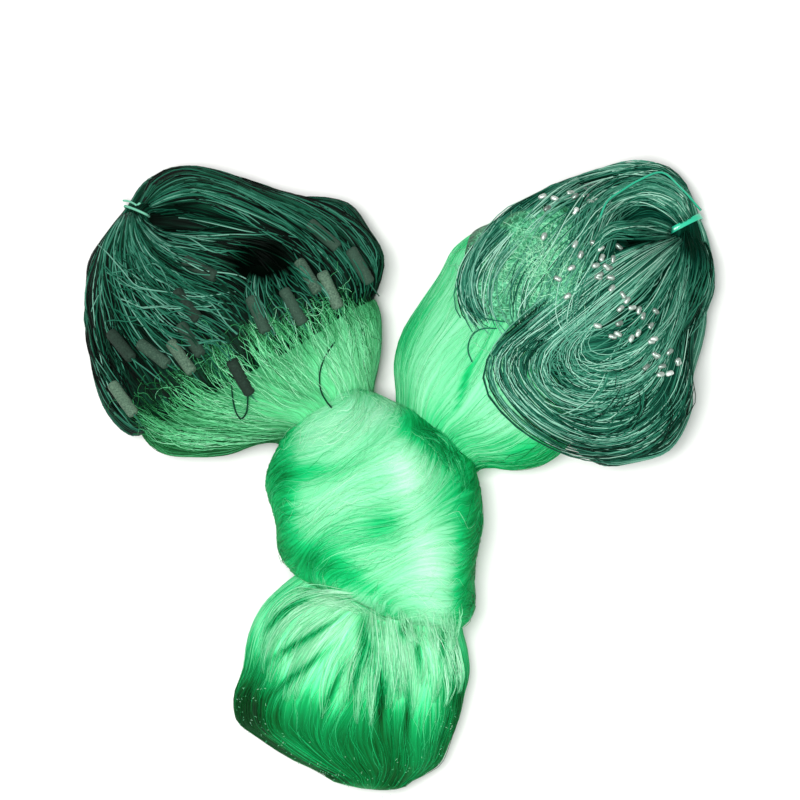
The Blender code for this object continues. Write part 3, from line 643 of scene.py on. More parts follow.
def facing_out(faces, points, spine):
    """The faces, turned over if their quads face the spine that they lie round: one point for each
    quad, or one for all."""
    corners = points[faces[0]]
    facing = np.cross(corners[:, 2] - corners[:, 0], corners[:, 3] - corners[:, 1])
    inward = np.einsum("ij,ij->", corners.mean(axis=1) - spine, facing) < 0
    return [face[:, ::-1] for face in faces] if inward else faces


def closed_sheet(points, tone, lay=None):
    """A surface on a grid whose columns join up round it and whose ends close to a point."""
    rows, columns = tone.shape
    flat, threads = (
        np.vstack([grid.reshape(-1, 3), grid[0].mean(axis=0), grid[-1].mean(axis=0)])
        for grid in (points, points if lay is None else lay)
    )
    across, down = (np.arange(columns) + 0.5) / columns, (np.arange(rows) + 1) / (rows + 1)
    place = np.stack(np.meshgrid(across, down), axis=-1).reshape(-1, 2)
    place = np.vstack([place, [[0.5, 0]], [[0.5, 1]]])
    tone = np.concatenate([tone.ravel(), [tone[0].mean(), tone[-1].mean()]])
    faces = facing_out(tube_faces(1, rows, columns), flat, flat.mean(axis=0))
    return Shape(flat, faces, tone, place, threads)


def strands(paths, radius, sides, tone):
    """Round strands along many paths at once, closed at both ends.

    At each point of a path a ring of points stands square to it at the radius. Its directions come
    from the one that the path's steps use least, so that rings never flip or twist.
    """
    count, length = paths.shape[:2]
    both = [0, -1]
    steps = np.gradient(paths, axis=1)
    steps /= np.linalg.norm(steps, axis=2, keepdims=True) + 1e-12
    least = np.linalg.eigh(np.einsum("nmi,nmj->nij", steps, steps))[1][:, None, :, 0]
    side = least - steps * np.sum(least * steps, axis=2, keepdims=True)
    side /= np.linalg.norm(side, axis=2, keepdims=True) + 1e-12
    up = np.cross(steps, side)
    angle = np.linspace(0, 2 * np.pi, sides, endpoint=False)
    cos, sin = np.cos(angle), np.sin(angle)
    radius = np.broadcast_to(np.asarray(radius, float), (count, length))
    around = side[:, :, None] * cos[:, None] + up[:, :, None] * sin[:, None]
    rings = paths[:, :, None] + around * radius[:, :, None, None]
    bulge = np.array([-0.6, 0.6])[:, None]  # how far a tip stands out of its end, in radii
    tips = paths[:, both] + steps[:, both] * radius[:, both, None] * bulge
    if np.ndim(tone) < 2:
        tone = np.reshape(tone, (-1, 1))
    tone = np.broadcast_to(tone, (count, length))
    # Along its lay a strand starts where its number says, so that no two show the same stretch.
    run = np.cumsum(np.linalg.norm(np.diff(paths, axis=1, prepend=paths[:, :1]), axis=2), axis=1)
    run = run + 0.037 * np.arange(count)[:, None]
    turned = radius[:, :, None] * np.ones(sides)
    lay = np.stack([turned * cos, turned * sin, run[:, :, None] + 0 * turned], axis=-1)
    tip_lay = np.stack([0 * run, 0 * run, run], axis=-1)[:, both]
    # Each strand is a band of its own in the flat map, in as many columns as keep the bands tall.
    columns = max(1, int(np.sqrt(count / 60)))
    rows = -(-count // columns)
    number = np.arange(count)[:, None, None]
    u = number % columns / columns + np.linspace(0.02, 0.98, length)[:, None] / columns
    v = number // columns / rows + (np.arange(sides) + 0.5) / sides / rows
    place = np.stack(np.broadcast_arrays(u, v), axis=-1)
    return Shape(
        np.vstack([rings.reshape(-1, 3), tips.reshape(-1, 3)]),
        tube_faces(count, length, sides),
        np.concatenate([np.repeat(tone, sides, axis=1).ravel(), tone[:, both].ravel()]),
        np.vstack([place.reshape(-1, 2), place[:, both, 0].reshape(-1, 2)]),
        np.vstack([lay.reshape(-1, 3), tip_lay.reshape(-1, 3)]),
    )


def joined(shapes):
    """Several shapes as one: their points in turn, with the flat map shared out in equal rows."""
    faces, start = [], 0
    for shape in shapes:
        faces += [face + start for face in shape.faces]
        start += len(shape.points)
    share = 1 / len(shapes)
    place = [shape.place * (1, share) + (0, number * share) for number, shape in enumerate(shapes)]
    return Shape(
        np.vstack([shape.points for shape in shapes]),
        faces,
        np.concatenate([shape.tone for shape in shapes]),
        np.vstack(place),
        np.vstack([shape.lay for shape in shapes]),
    )


def piece(name, shape, material, slot, *nodes):
    """A finished piece of the net: the shape as a mesh with its tone, riding on the one body."""
    mesh = bpy.data.meshes.new(name)
    mesh.vertices.add(len(shape.points))
    mesh.vertices.foreach_set("co", shape.points.astype(np.float32).ravel())
    corners = np.concatenate([face.ravel() for face in shape.faces])
    totals = np.concatenate([np.full(len(face), face.shape[1]) for face in shape.faces])
    mesh.loops.add(len(corners))
    mesh.loops.foreach_set("vertex_index", corners.astype(np.int32))
    mesh.polygons.add(len(totals))
    mesh.polygons.foreach_set("loop_start", (np.cumsum(totals) - totals).astype(np.int32))
    mesh.polygons.foreach_set("loop_total", totals.astype(np.int32))
    mesh.update(calc_edges=True)
    tone = mesh.attributes.new("tone", "FLOAT", "POINT")
    tone.data.foreach_set("value", shape.tone.astype(np.float32))
    lay = mesh.attributes.new("lay", "FLOAT_VECTOR", "POINT")
    lay.data.foreach_set("vector", shape.lay.astype(np.float32).ravel())
    flat = mesh.uv_layers.new(name="OFBake")
    flat.data.foreach_set("uv", shape.place[corners].astype(np.float32).ravel())
    mesh.shade_smooth()
    mesh.materials.append(material)
    obj = bpy.data.objects.new(name, mesh)
    bpy.context.scene.collection.objects.link(obj)
    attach(obj, "root")
    if nodes:
        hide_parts(*nodes)
    return obj


def painted_side_shade(theta):
    """Painted shade down a bundle's sides: how much deeper the green is painted there, a power of
    one less the sine of the angle, nothing over the top and most at the ground."""
    most, hold = 0.26, 1.5
    return most * (1 - np.clip(np.sin(theta), 0, 1)) ** hold


def spread_angles(count):
    """Angles round a bundle, most of them over its top and down its sides and the rest under it."""
    right, left, upper = -28, 208, int(count * 0.86)
    over = np.linspace(right, left, upper)
    under = np.linspace(left, right + 360, count - upper + 2)[1:-1]
    return np.radians(np.concatenate([over, under]))


def skin(bundle, lay, rng, fine, coarse, knots, depth, patches, base, clumps=(0.18, 6)):
    """A bundle's skin combed into threads: its grid follows the lay, finely divided across the
    threads and coarsely along them, and is pushed out by depth times a sum of three noises, quick
    across the threads and slow along them.

    The tone is paler on the threads and deeper in the gaps between them, which is painted shade,
    deeper down the sides by painted shade too, painted lighter or deeper by the patches, and shifts
    by the first of clumps from one gathered clump to the next. The second of clumps is its bends
    along them."""
    around = lay is hooped
    shares = np.linspace(0.004, 0.996, fine if around else coarse)
    angles = spread_angles(coarse if around else fine)
    q, p = (shares, angles) if around else (angles, shares)
    q = q[:, None]
    noise = sum(
        share * cloudy(rng, (fine, coarse), (max(4, fine // gather), knots))
        for share, gather in ((0.55, 1), (0.30, 3), (0.15, 9))
    )
    mottle = sum(
        share * cloudy(rng, (fine, coarse), (patch, clumps[1] + 1))
        for share, patch in ((0.6, 8), (0.4, 18))
    )
    size, radius = bundle.length, bundle.radius
    if around:
        threads = q * size, radius * np.cos(p) / THREAD_STRETCH, radius * np.sin(p)
    else:
        threads = radius * np.cos(q), radius * np.sin(q), p * size
    grids = np.broadcast_arrays(noise, mottle, *lay(q, p), *threads)
    noise, mottle, s, theta, *threads = grids if around else [grid.T for grid in grids]
    points = bundle.at(s, theta, depth * noise)
    # Painted shade in the gaps between threads and down the sides; the patches add painted
    # highlights and shade.
    tone = base + 0.13 * noise + clumps[0] * mottle + paler(points, patches) - painted_side_shade(theta)
    return closed_sheet(points, tone, np.stack(threads, axis=-1))


def waves(rng, count, length, bends, size):
    """Smooth wander along each of many strands: noise with this many bends, of this size."""
    return cloudy(rng, (count, length), (count, bends + 2)) * size


def with_heights(plan, height):
    """Plan routes as paths, with a height at each point."""
    return np.concatenate([plan, height[..., None]], axis=-1)


def laid(
    bundle, lay, rng, count, length, across, start, reach, wander, lift, thick, tone, spread,
    proud=0.0,
):
    """Loose threads on a bundle: each follows the lay from a random start over a random reach,
    wanders across it by smooth noise, and rises and dips by a power of a sine. A share of them
    stands proud as fly-aways. The tone is a number, or a function of the threads' points."""
    q = rng.uniform(*across, count)[:, None]
    first = rng.uniform(*start, count)[:, None]
    extent = rng.uniform(*reach, count)[:, None]
    t = np.linspace(0, 1, length)[None, :]
    q = q + waves(rng, count, length, 2, wander) + rng.normal(0, wander, (count, 1)) * (t - 0.5)
    rise = np.sin(np.pi * t) ** 0.6
    height = rng.uniform(0.2, 1.0, (count, 1)) * lift * rise - 0.5 * thick[1] * (1 - rise)
    stray = rng.random((count, 1)) < proud
    height = height + stray * rng.uniform(*FLYAWAY, (count, 1)) * MM * t**1.5
    s, theta = lay(q, first + extent * t)
    paths = bundle.at(np.clip(s, 0.002, 0.998), theta, height)
    shade = tone(paths) if callable(tone) else tone
    shade = shade + rng.normal(0, spread, (count, 1)) + 0.05 * waves(rng, count, length, 3, 1)
    radius = rng.uniform(*thick, (count, 1)) / 2 * (0.35 + 0.65 * np.sin(np.pi * t) ** 0.4)
    return strands(paths, radius, 3, shade)


def plan_routes(guides, rng, count, length, wander, trim, drift=0.0, bunches=0):
    """Plan routes spread between neighbouring guides, in proportion to their distance from each.

    Each drifts across the guides as it goes, so that routes cross, has a wander of its own that
    dies away at its start, and is trimmed at each end. In bunches, the routes of one bunch set off
    near each other and draw together to end at one place."""
    lines = np.stack([even(placed(guide), 64) for guide in guides])
    last = np.array(lines.shape[:2]) - 1
    start = rng.uniform(0, trim[0], count)[:, None]
    stop = 1 - rng.uniform(0, trim[1], count)[:, None]
    t = start + (stop - start) * np.linspace(0, 1, length)[None, :]
    pick = ((rng.permutation(count) + rng.random(count)) / count)[:, None] * last[0]
    pick = pick + rng.normal(0, drift, (count, 1)) * t
    if bunches:
        member = np.arange(count) % bunches
        t = start + (stop[member] - start) * np.linspace(0, 1, length)[None, :]
        middle = rng.uniform(0, last[0], (bunches, 1))[member]
        pick = middle + rng.normal(0, drift, (count, 1)) * (1 - t**2)
    pick = np.clip(pick, 0, last[0])
    low = np.minimum(pick.astype(int), last[0] - 1)
    between = (pick - low)[..., None]
    i = np.minimum((t * last[1]).astype(int), last[1] - 1)
    f = (t * last[1] - i)[..., None]
    here, beside = (lines[row, i] * (1 - f) + lines[row, i + 1] * f for row in (low, low + 1))
    plan = here * (1 - between) + beside * between
    sway, curl = (
        np.stack([waves(rng, count, length, bends, wander) for _ in "xy"], axis=-1)
        for bends in (2, 7)
    )
    return plan + np.clip(t / 0.25, 0, 1)[..., None] * (sway + 0.25 * curl)


def on_the_net(ground, plan):
    """Which routes lie on the net over their whole length, clear of the floor and of drops."""
    z = ground.at(plan[..., 0], plan[..., 1])
    bare = ground.at(plan[..., 0], plan[..., 1], ground.bare)
    return (bare.min(axis=1) > THREAD_FLOOR) & (np.abs(np.diff(z, axis=1)).max(axis=1) < SHEER)


def draped_on(ground, plan, radius, window=1):
    """Heights for plan routes: the highest ground near each point along the route, evened out
    twice, and the radius over it."""
    z = ground.at(plan[..., 0], plan[..., 1])
    for take in (np.max, np.mean, np.mean):
        padded = np.pad(z, ((0, 0), (window, window)), mode="edge")
        z = take(np.lib.stride_tricks.sliding_window_view(padded, 2 * window + 1, axis=1), axis=2)
    return np.maximum(z, 0) + radius


def layered_lines(
    ground, guides, rng, count, length, diameter, wander, trim, tone, layers=4, dive=(5, 3),
    sides=4, patches=(), drift=0.35, deeper=0.2,
):
    """Lines laid over the ground in layers, each layer resting on those before, with both ends of a
    line dipping out of sight by dive, in millimetres. Each lower layer is painted deeper in tone by
    deeper, as the shade under those above it, and the patches add their painted light and shade."""
    made = []
    t = np.linspace(0, 1, length)[None, :]
    first, last = np.clip(t / 0.08, 0, 1), np.clip((t - 0.92) / 0.08, 0, 1)
    sink = dive[0] * MM * (1 - first) + dive[1] * MM * last
    for layer in range(layers):
        plan = plan_routes(guides, rng, count // layers, length, wander, trim, drift)
        off = ground.at(plan[..., 0], plan[..., 1], ground.bare) < LINE_FLOOR
        plan = plan[(off.mean(axis=1) < OVERHANG) & ~off[:, -LAST_POINTS:].any(axis=1)]
        thick = diameter / 2 * rng.uniform(0.85, 1.15, (len(plan), 1)) * np.ones((1, length))
        paths = with_heights(plan, np.maximum(draped_on(ground, plan, thick) - sink, thick))
        shade = tone + rng.normal(0, 0.17, (len(plan), 1))
        shade = shade + 0.10 * waves(rng, len(plan), length, 4, 1)
        # Painted shade on the lower layers, and the patches' painted light and shade.
        shade = shade - deeper * (layers - 1 - layer) + paler(paths, patches)
        made.append(strands(paths, thick, sides, shade))
        crest = paths.copy()
        crest[..., 2] += 0.25 * thick
        ground.pile(crest)
        ground.ease(1)
    return made


def locks(
    ground, guides, rng, count, length, wander, trim, tone, lift, spread=0.11, fade=0.0, bunches=0
):
    """Fine threads in locks that keep between the guides, heaped by lift at the middle of their run
    and painted deeper in tone by fade at its end, as shade. The tone may be a function of their
    points."""
    plan = plan_routes(guides, rng, count, length, wander, trim, 0.25, bunches)
    plan = plan[on_the_net(ground, plan)]
    count = len(plan)
    t = np.linspace(0, 1, length)[None, :]
    arch = np.sin(np.pi * t)
    thick = FIBRE * rng.uniform(0.35, 0.6, (count, 1)) * (0.3 + 0.7 * arch**0.4)
    heap = lift * rng.uniform(0.1, 1.0, (count, 1)) * arch**0.7
    z = draped_on(ground, plan, 0) + heap - 0.5 * MM * (1 - arch**0.3)
    paths = with_heights(plan, np.maximum(z, FIBRE))
    shade = tone(paths) if callable(tone) else tone
    return strands(paths, thick, 3, shade + rng.normal(0, spread, (count, 1)) - fade * t**2)


def curls(
    ground, rng, middles, heading, length, steps, bend, thread, lift, tone, spread=0.2, patches=()
):
    """Lacy threads: each sets off at its heading, turns by smooth noise as it goes, lies about its
    middle on the ground, and bows up from it by noise of the lift's size."""
    count = len(middles)
    turn = heading[:, None] + np.cumsum(waves(rng, count, steps, 4, bend), axis=1)
    step = (length / steps)[:, None]
    run = np.stack([np.cos(turn), np.sin(turn)], axis=-1) * step[..., None]
    plan = np.cumsum(run, axis=1)
    plan = middles[:, None] + plan - plan.mean(axis=1, keepdims=True)
    plan = plan[on_the_net(ground, plan)]
    count = len(plan)
    height = draped_on(ground, plan, thread / 2) + np.abs(waves(rng, count, steps, 3, lift))
    paths = with_heights(plan, height)
    shade = tone + rng.normal(0, spread, (count, 1)) + paler(paths, patches)
    return strands(paths, thread / 2, 3, shade)


def shown_netting(ground, rng, patch, rows, columns, lift, ragged, tone, contrast):
    """A thin layer of netting that shows through sparse lines: rings about the patch's middle, out
    over the eased ground and back beneath it. Its rim wavers by a sum of cosines and is tucked in
    under it."""
    share = np.concatenate([np.linspace(0.03, 1, rows), [0.94, 0.7, 0.3, 0.06]])[:, None]
    under = np.concatenate([np.zeros(rows), [1.5, 4, 4, 4]])[:, None] * MM
    angle = np.linspace(0, 2 * np.pi, columns, endpoint=False)[None, :]
    wave = np.arange(3, 15)[:, None, None]
    ripples = np.cos(wave * angle + rng.uniform(0, 6.3, wave.shape)) * ragged / np.sqrt(wave)
    edge = 1 + np.sum(ripples, axis=0)
    aside = patch.reach * MM * share * edge * np.cos(angle)
    ahead = patch.along * MM * share * edge * np.sin(angle)
    turn = np.radians(patch.turn)
    middle = placed((patch.x, patch.y))
    x = middle[0] + aside * np.cos(turn) - ahead * np.sin(turn)
    y = middle[1] + aside * np.sin(turn) + ahead * np.cos(turn)
    tuck = 2.5 * MM * np.clip((share - 0.9) * 10, 0, 1)
    z = ground.at(x, y) + lift * (1 - share**2) ** 0.5 - tuck - under
    # Painted shade: the tone is deeper towards the rim, where the layer tucks in under the turns.
    tone = tone + contrast * cloudy(rng, z.shape, (rows // 2, columns // 3)) - 0.34 * share**5
    return closed_sheet(np.stack([x, y, np.maximum(z, MM)], axis=-1), tone)


def along_route(rng, route, count, spread):
    """Random places beside a route, and the heading of the route there."""
    line = even(placed(route), 120)
    pick = rng.integers(1, len(line) - 1, count)
    ahead = line[pick + 1] - line[pick - 1]
    heading = np.arctan2(ahead[:, 1], ahead[:, 0])
    aside = np.stack([-np.sin(heading), np.cos(heading)], axis=-1)
    return line[pick] + aside * rng.normal(0, 1, count)[:, None] * spread, heading


def node(tree, kind, settings=None, **links):
    """Adds a shader node, sets its sockets or properties, and links sockets by name or number."""
    made = tree.nodes.new("ShaderNode" + kind)
    for key, value in (settings or {}).items():
        if isinstance(key, int) or key in made.inputs:
            made.inputs[key].default_value = value
        else:
            setattr(made, key, value)
    for key, source in links.items():
        socket = int(key[1:]) if key[1:].isdigit() else key
        tree.links.new(source, made.inputs[socket])
    return made


def linear(colour):
    """An sRGB hex colour as the linear numbers that shaders take."""
    channels = np.array([int(colour[i : i + 2], 16) for i in (1, 3, 5)]) / 255
    low = channels / 12.92
    return (*np.where(channels <= 0.04045, low, ((channels + 0.055) / 1.055) ** 2.4), 1)


def pores(tree, size):
    """Noise with a grain of this size, alike in every direction."""
    place = node(tree, "TexCoord").outputs["Object"]
    grain = {"Scale": 1 / size, "Detail": 3.0, "Roughness": 0.6}
    return node(tree, "TexNoise", grain, Vector=place).outputs["Fac"]


def fibres(tree, width):
    """Fine threads side by side: noise of this width across the lay, drawn out along it."""
    lay = node(tree, "Attribute", {"attribute_name": "lay"}).outputs["Vector"]
    drawn = node(tree, "Mapping", {"Scale": (1, 1, 1 / THREAD_STRETCH)}, Vector=lay)
    streaks = {"Scale": 1 / width, "Detail": 2.5, "Roughness": 0.65}
    return node(tree, "TexNoise", streaks, Vector=drawn.outputs["Vector"]).outputs["Fac"]


def tangle(tree, thread):
    """Threads that curl over each other: thin ridges where either of two slow noises is at its
    middle, as one less a multiple of how far the noise is from a half."""
    place = node(tree, "TexCoord").outputs["Object"]
    ridges = []
    for offset in (0.0, 0.31):
        moved = node(tree, "Mapping", {"Location": (offset, offset, offset)}, Vector=place)
        moved, slow = moved.outputs["Vector"], {"Scale": 1 / (5 * thread), "Detail": 1.5}
        noise = node(tree, "TexNoise", slow, Vector=moved).outputs["Fac"]
        away = node(tree, "Math", {"operation": "SUBTRACT", 1: 0.5}, i0=noise)
        away = node(tree, "Math", {"operation": "ABSOLUTE"}, i0=away.outputs[0])
        steep = {"operation": "MULTIPLY_ADD", "use_clamp": True, 1: -15.0, 2: 1.0}
        ridges.append(node(tree, "Math", steep, i0=away.outputs[0]).outputs[0])
    return node(tree, "Math", {"operation": "MAXIMUM"}, i0=ridges[0], i1=ridges[1]).outputs[0]


def plies(tree, pitch, count):
    """Plies twisted about each other: a wave that goes round the line count times in each pitch."""
    lay = node(tree, "Attribute", {"attribute_name": "lay"}).outputs["Vector"]
    part = node(tree, "SeparateXYZ", Vector=lay).outputs
    angle = node(tree, "Math", {"operation": "ARCTAN2"}, i0=part["Y"], i1=part["X"]).outputs[0]
    turns = {"operation": "MULTIPLY", 1: 2 * np.pi * count / pitch}
    run = node(tree, "Math", turns, i0=part["Z"]).outputs[0]
    phase = node(tree, "Math", {"operation": "MULTIPLY_ADD", 1: count}, i0=angle, i2=run).outputs[0]
    wave = node(tree, "Math", {"operation": "SINE"}, i0=phase).outputs[0]
    return node(tree, "Math", {"operation": "MULTIPLY_ADD", 1: 0.5, 2: 0.5}, i0=wave).outputs[0]


def finish(name, stops, patterns, bump, roughness, **settings):
    """A material whose colour follows the piece's tone through the stops, each a place and a hex
    colour. Each pattern is a height from 0 to 1, with how far it shifts the tone and its sizes, and
    together they stand up by the bump."""
    made = bpy.data.materials.new(name)
    made.use_nodes = True
    tree = made.node_tree
    shader = tree.nodes["Principled BSDF"]
    shader.inputs["Roughness"].default_value = roughness
    for key, value in settings.items():
        shader.inputs[key.replace("_", " ")].default_value = value
    tone = node(tree, "Attribute", {"attribute_name": "tone"}).outputs["Fac"]
    heights = []
    for pattern, depth, *sizes in patterns:
        heights.append(pattern(tree, *sizes))
        shift = {"operation": "MULTIPLY_ADD", 1: depth}
        tone = node(tree, "Math", shift, i0=heights[-1], i2=tone).outputs[0]
        tone = node(tree, "Math", {"operation": "SUBTRACT", 1: depth / 2}, i0=tone).outputs[0]
    height = heights[0]
    for drawn in heights[1:]:
        height = node(tree, "Math", {"operation": "ADD"}, i0=height, i1=drawn).outputs[0]
    colours = node(tree, "ValToRGB", i0=tone)
    elements = colours.color_ramp.elements
    while len(elements) < len(stops):
        elements.new(0.5)
    for element, (place, colour) in zip(elements, stops):
        element.position = place
        element.color = linear(colour)
    tree.links.new(colours.outputs["Color"], shader.inputs["Base Color"])
    bumped = node(tree, "Bump", {"Distance": bump, "Strength": 0.6}, Height=height)
    tree.links.new(bumped.outputs["Normal"], shader.inputs["Normal"])
    return made


def aim(obj, place, target):
    """Puts a camera or light at a place and turns it to face the target."""
    obj.location = place
    way = Vector(target) - Vector(place)
    obj.rotation_mode = "QUATERNION"
    obj.rotation_quaternion = way.to_track_quat("-Z", "Y")
    bpy.context.scene.collection.objects.link(obj)


def set_camera():
    """A camera well above the net, a little to its front, with a long lens."""
    view_width = 0.600  # metres across at the height the camera is aimed at
    distance, elevation = 2.2, np.radians(86)
    target = np.array([SHIFT[0] + 0.75 * MM, SHIFT[1] + 53.6 * MM, 45 * MM])
    data = bpy.data.cameras.new("view")
    data.sensor_width = 36
    data.lens = 36 * distance / view_width
    camera = bpy.data.objects.new("view", data)
    back = np.array([0, -np.cos(elevation), np.sin(elevation)])
    aim(camera, target + back * distance, target)
    bpy.context.scene.camera = camera


def set_light():
    """A large soft lamp high over the net, a weaker one in front, and a pale room."""
    lamps = (
        ("key", (-0.25, 0.02, 1.6), 0.6, 28, "#FFFFFF"),
        ("fill", (0.5, -1.0, 1.2), 1.2, 10, "#F4FFF8"),
    )
    for name, place, size, power, colour in lamps:
        data = bpy.data.lights.new(name, "AREA")
        data.shape = "SQUARE"
        data.size = size
        data.energy = power
        data.color = linear(colour)[:3]
        aim(bpy.data.objects.new(name, data), place, (0, 0, 0.04))
    world = bpy.data.worlds.new("room")
    bpy.context.scene.world = world
    world.use_nodes = True
    back = world.node_tree.nodes["Background"]
    back.inputs["Color"].default_value = linear("#FFFFFF")
    back.inputs["Strength"].default_value = 0.42
    bpy.context.scene.view_settings.view_transform = "Standard"


def set_floor():
    """A plain pale floor, just under the net."""
    half, level = 3.0, -0.2 * MM
    corners = [(x * half, y * half, level) for x, y in ((-1, -1), (1, -1), (1, 1), (-1, 1))]
    mesh = bpy.data.meshes.new("floor")
    mesh.from_pydata(corners, [], [(0, 1, 2, 3)])
    made = bpy.data.materials.new("matt_white_board")
    made.use_nodes = True
    shader = made.node_tree.nodes["Principled BSDF"]
    shader.inputs["Base Color"].default_value = linear("#F6F6F4")
    shader.inputs["Roughness"].default_value = 0.9
    mesh.materials.append(made)
    floor = bpy.data.objects.new("floor", mesh)
    bpy.context.scene.collection.objects.link(floor)


def small_pieces(kind):
    """The names of one kind of small round CAD pieces, with the middle of each and the unit
    direction of its length, along which its points spread most."""
    names = sorted(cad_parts)
    names = [name for name in names if name.startswith(kind) and name[len(kind) :].isdigit()]
    middles, axes = [], []
    for name in names:
        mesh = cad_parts[name].data
        spots = np.empty(len(mesh.vertices) * 3)
        mesh.vertices.foreach_get("co", spots)
        spots = np.unique(spots.reshape(-1, 3).round(7), axis=0)
        away = spots - spots.mean(axis=0)
        middles.append((spots.min(axis=0) + spots.max(axis=0)) / 2)
        axes.append(np.linalg.eigh(away.T @ away)[1][:, 2])
    return names, np.array(middles), np.array(axes)


def barrels(middles, axes, profile, sides, rng, tone, dent):
    """Short turned pieces, one about each axis: the profile's (along, radius) pairs swept round it,
    each radius varied by smooth noise of the dent's size."""
    along, radius = np.array(profile).T
    helper = np.where(np.abs(axes[:, 2:3]) < 0.9, [[0.0, 0.0, 1.0]], [[1.0, 0.0, 0.0]])
    side = np.cross(axes, helper)
    side /= np.linalg.norm(side, axis=1, keepdims=True)
    up = np.cross(axes, side)
    angle = np.linspace(0, 2 * np.pi, sides, endpoint=False)
    shapes = []
    for number, middle in enumerate(middles):
        rough = 1 + dent * cloudy(rng, (len(along), sides), (len(along) // 2 + 2, 5))
        rough[:, -2:] = rough[:, -3:-2]
        ring = np.cos(angle)[:, None] * side[number] + np.sin(angle)[:, None] * up[number]
        points = middle + along[:, None, None] * axes[number]
        points = points + ring[None] * (radius[:, None] * rough)[..., None]
        shapes.append(closed_sheet(points, np.full((len(along), sides), tone[number])))
    return joined(shapes)


def mirrored(profile):
    """A turned profile's other half: the same pairs in reverse, with their places negated."""
    return [(-along, radius) for along, radius in reversed(profile)]


def threaded(ground, middles, axes, half, reach, radius, rng, count, tone):
    """The line on which small pieces are threaded: straight through each, then bending down on both
    sides to lie on the ground, out to the reach, where its ends dip out of sight."""
    t = np.linspace(-1, 1, count)[None, :, None]
    bow = rng.uniform(-1, 1, (len(axes), 1, 1)) * 0.35 * (reach - half)
    bow = np.cross(axes, (0, 0, 1))[:, None] * bow
    away = np.clip(np.abs(t) * reach - half, 0, None) / (reach - half)
    paths = middles[:, None] + axes[:, None] * t * reach + bow * away**2
    rest = draped_on(ground, paths[..., :2], radius)
    ease = away[..., 0] ** 0.7
    dip = 3 * MM * np.clip(away[..., 0] * 4 - 3, 0, 1)
    z = paths[..., 2] * (1 - ease) + rest * ease - dip
    return strands(with_heights(paths[..., :2], np.maximum(z, radius)), radius, 5, tone)


def pile_floats(ground, middles, axes):
    """Raises the ground to the upper side of each float: points along it and across, up its round
    by the square root of one less the square of their share of its radius."""
    share = np.linspace(-0.8, 0.8, 9)[:, None]
    for middle, axis in zip(middles, axes):
        span = middle + axis * np.linspace(-0.9, 0.9, 40)[:, None] * FLOAT_HALF
        crown = span + np.cross(axis, (0, 0, 1)) * share[..., None] * FLOAT_RADIUS
        crown[..., 2] += FLOAT_RADIUS * np.sqrt(1 - share**2)
        ground.pile(crown)


def crest_near(ground, spots):
    """The highest ground within a sinker's width of each spot."""
    turn = np.radians(np.arange(0, 360, 45))
    beside = spots[:, None] + 2.5 * MM * np.stack([np.cos(turn), np.sin(turn)], axis=-1)
    return ground.at(beside[..., 0], beside[..., 1]).max(axis=1)


def neck_ring(ground, neck, clear, count):
    """The closed path round a hank's neck, clear of it and of what lies on it, with outward
    directions and the neck's own: the neck's superellipse, grown all round and raised smoothly over
    the ground."""
    theta = np.linspace(0, 2 * np.pi, count, endpoint=False)
    turn = np.radians(neck.turn)
    low, top = neck.raised * MM - SINK - clear, neck.top * MM + clear
    side, up = superellipse(theta)
    width = np.array([np.cos(turn), np.sin(turn), 0])
    centre = np.array([*placed((neck.x, neck.y)), (low + top) / 2])
    path = centre + width * ((neck.half * MM + clear) * side)[:, None]
    path = path + np.array([0, 0, 1]) * ((top - low) / 2 * up)[:, None]
    over = np.maximum(ground.at(path[:, 0], path[:, 1]) + 0.4 * clear - path[:, 2], 0)
    over = np.pad(over * (np.sin(theta) > 0.3), 8, mode="wrap")
    window = np.hanning(19)
    path[:, 2] += np.convolve(over, window[1:-1] / window.sum(), mode="valid")
    step = np.roll(path, -1, axis=0) - np.roll(path, 1, axis=0)
    along = np.cross(width, (0, 0, 1))
    outward = np.cross(along, step)
    outward /= np.linalg.norm(outward, axis=1, keepdims=True)
    outward *= np.sign(np.sum(outward * (path - centre), axis=1))[:, None]
    return path, outward, along


def hoop(path, outward, along, profile, tone):
    """A closed band: the profile's (outward, along) points carried round a closed path."""
    out, run = np.array(profile).T
    points = path[:, None] + outward[:, None] * out[:, None] + along * run[:, None]
    rows, columns = points.shape[:2]
    index = np.arange(rows * columns).reshape(rows, columns)
    below, after = np.roll(index, -1, axis=0), np.roll(index, -1, axis=1)
    quads = np.stack([index, after, np.roll(below, -1, axis=1), below], axis=-1).reshape(-1, 4)
    flat = points.reshape(-1, 3)
    spine = np.repeat(path + outward * out.mean(), columns, axis=0)
    place = np.stack(np.meshgrid(np.arange(columns) / columns, np.arange(rows) / rows), axis=-1)
    faces = facing_out([quads], flat, spine)
    return Shape(flat, faces, np.full(len(flat), tone), place.reshape(-1, 2), flat)


def sunk(points):
    """The points with the pit pressed in: its depth times e to the minus cube of the distance from
    its middle, in half widths."""
    over = points[..., 2] > 30 * MM  # the pit is pressed into the top alone
    away = (points[..., :2] - placed((FLOAT_PIT.x, FLOAT_PIT.y))) / (1, 0.75)
    away = np.linalg.norm(away, axis=-1) / (FLOAT_PIT.half * MM)
    drop = FLOAT_PIT.depth * MM * np.exp(-(away**3))
    lowered = points.copy()
    lowered[..., 2] = np.maximum(points[..., 2] - np.where(over, drop, 0), 0)
    return lowered


def side_lines(bundle, rng, count, diameter, tone):
    """Lines along both low sides of a hank, where those laid from above don't reach."""
    thick = (0.8 * diameter, 1.1 * diameter)
    return [
        laid(
            bundle, lengthwise, rng, count, length=18, across=np.radians(side), start=(0.02, 0.3),
            reach=(0.4, 0.66), wander=0.06, lift=0.8 * MM, thick=thick, tone=tone, spread=0.16,
        )
        for side in ((-24, 40), (140, 204))
    ]


set_camera()
set_light()
set_floor()
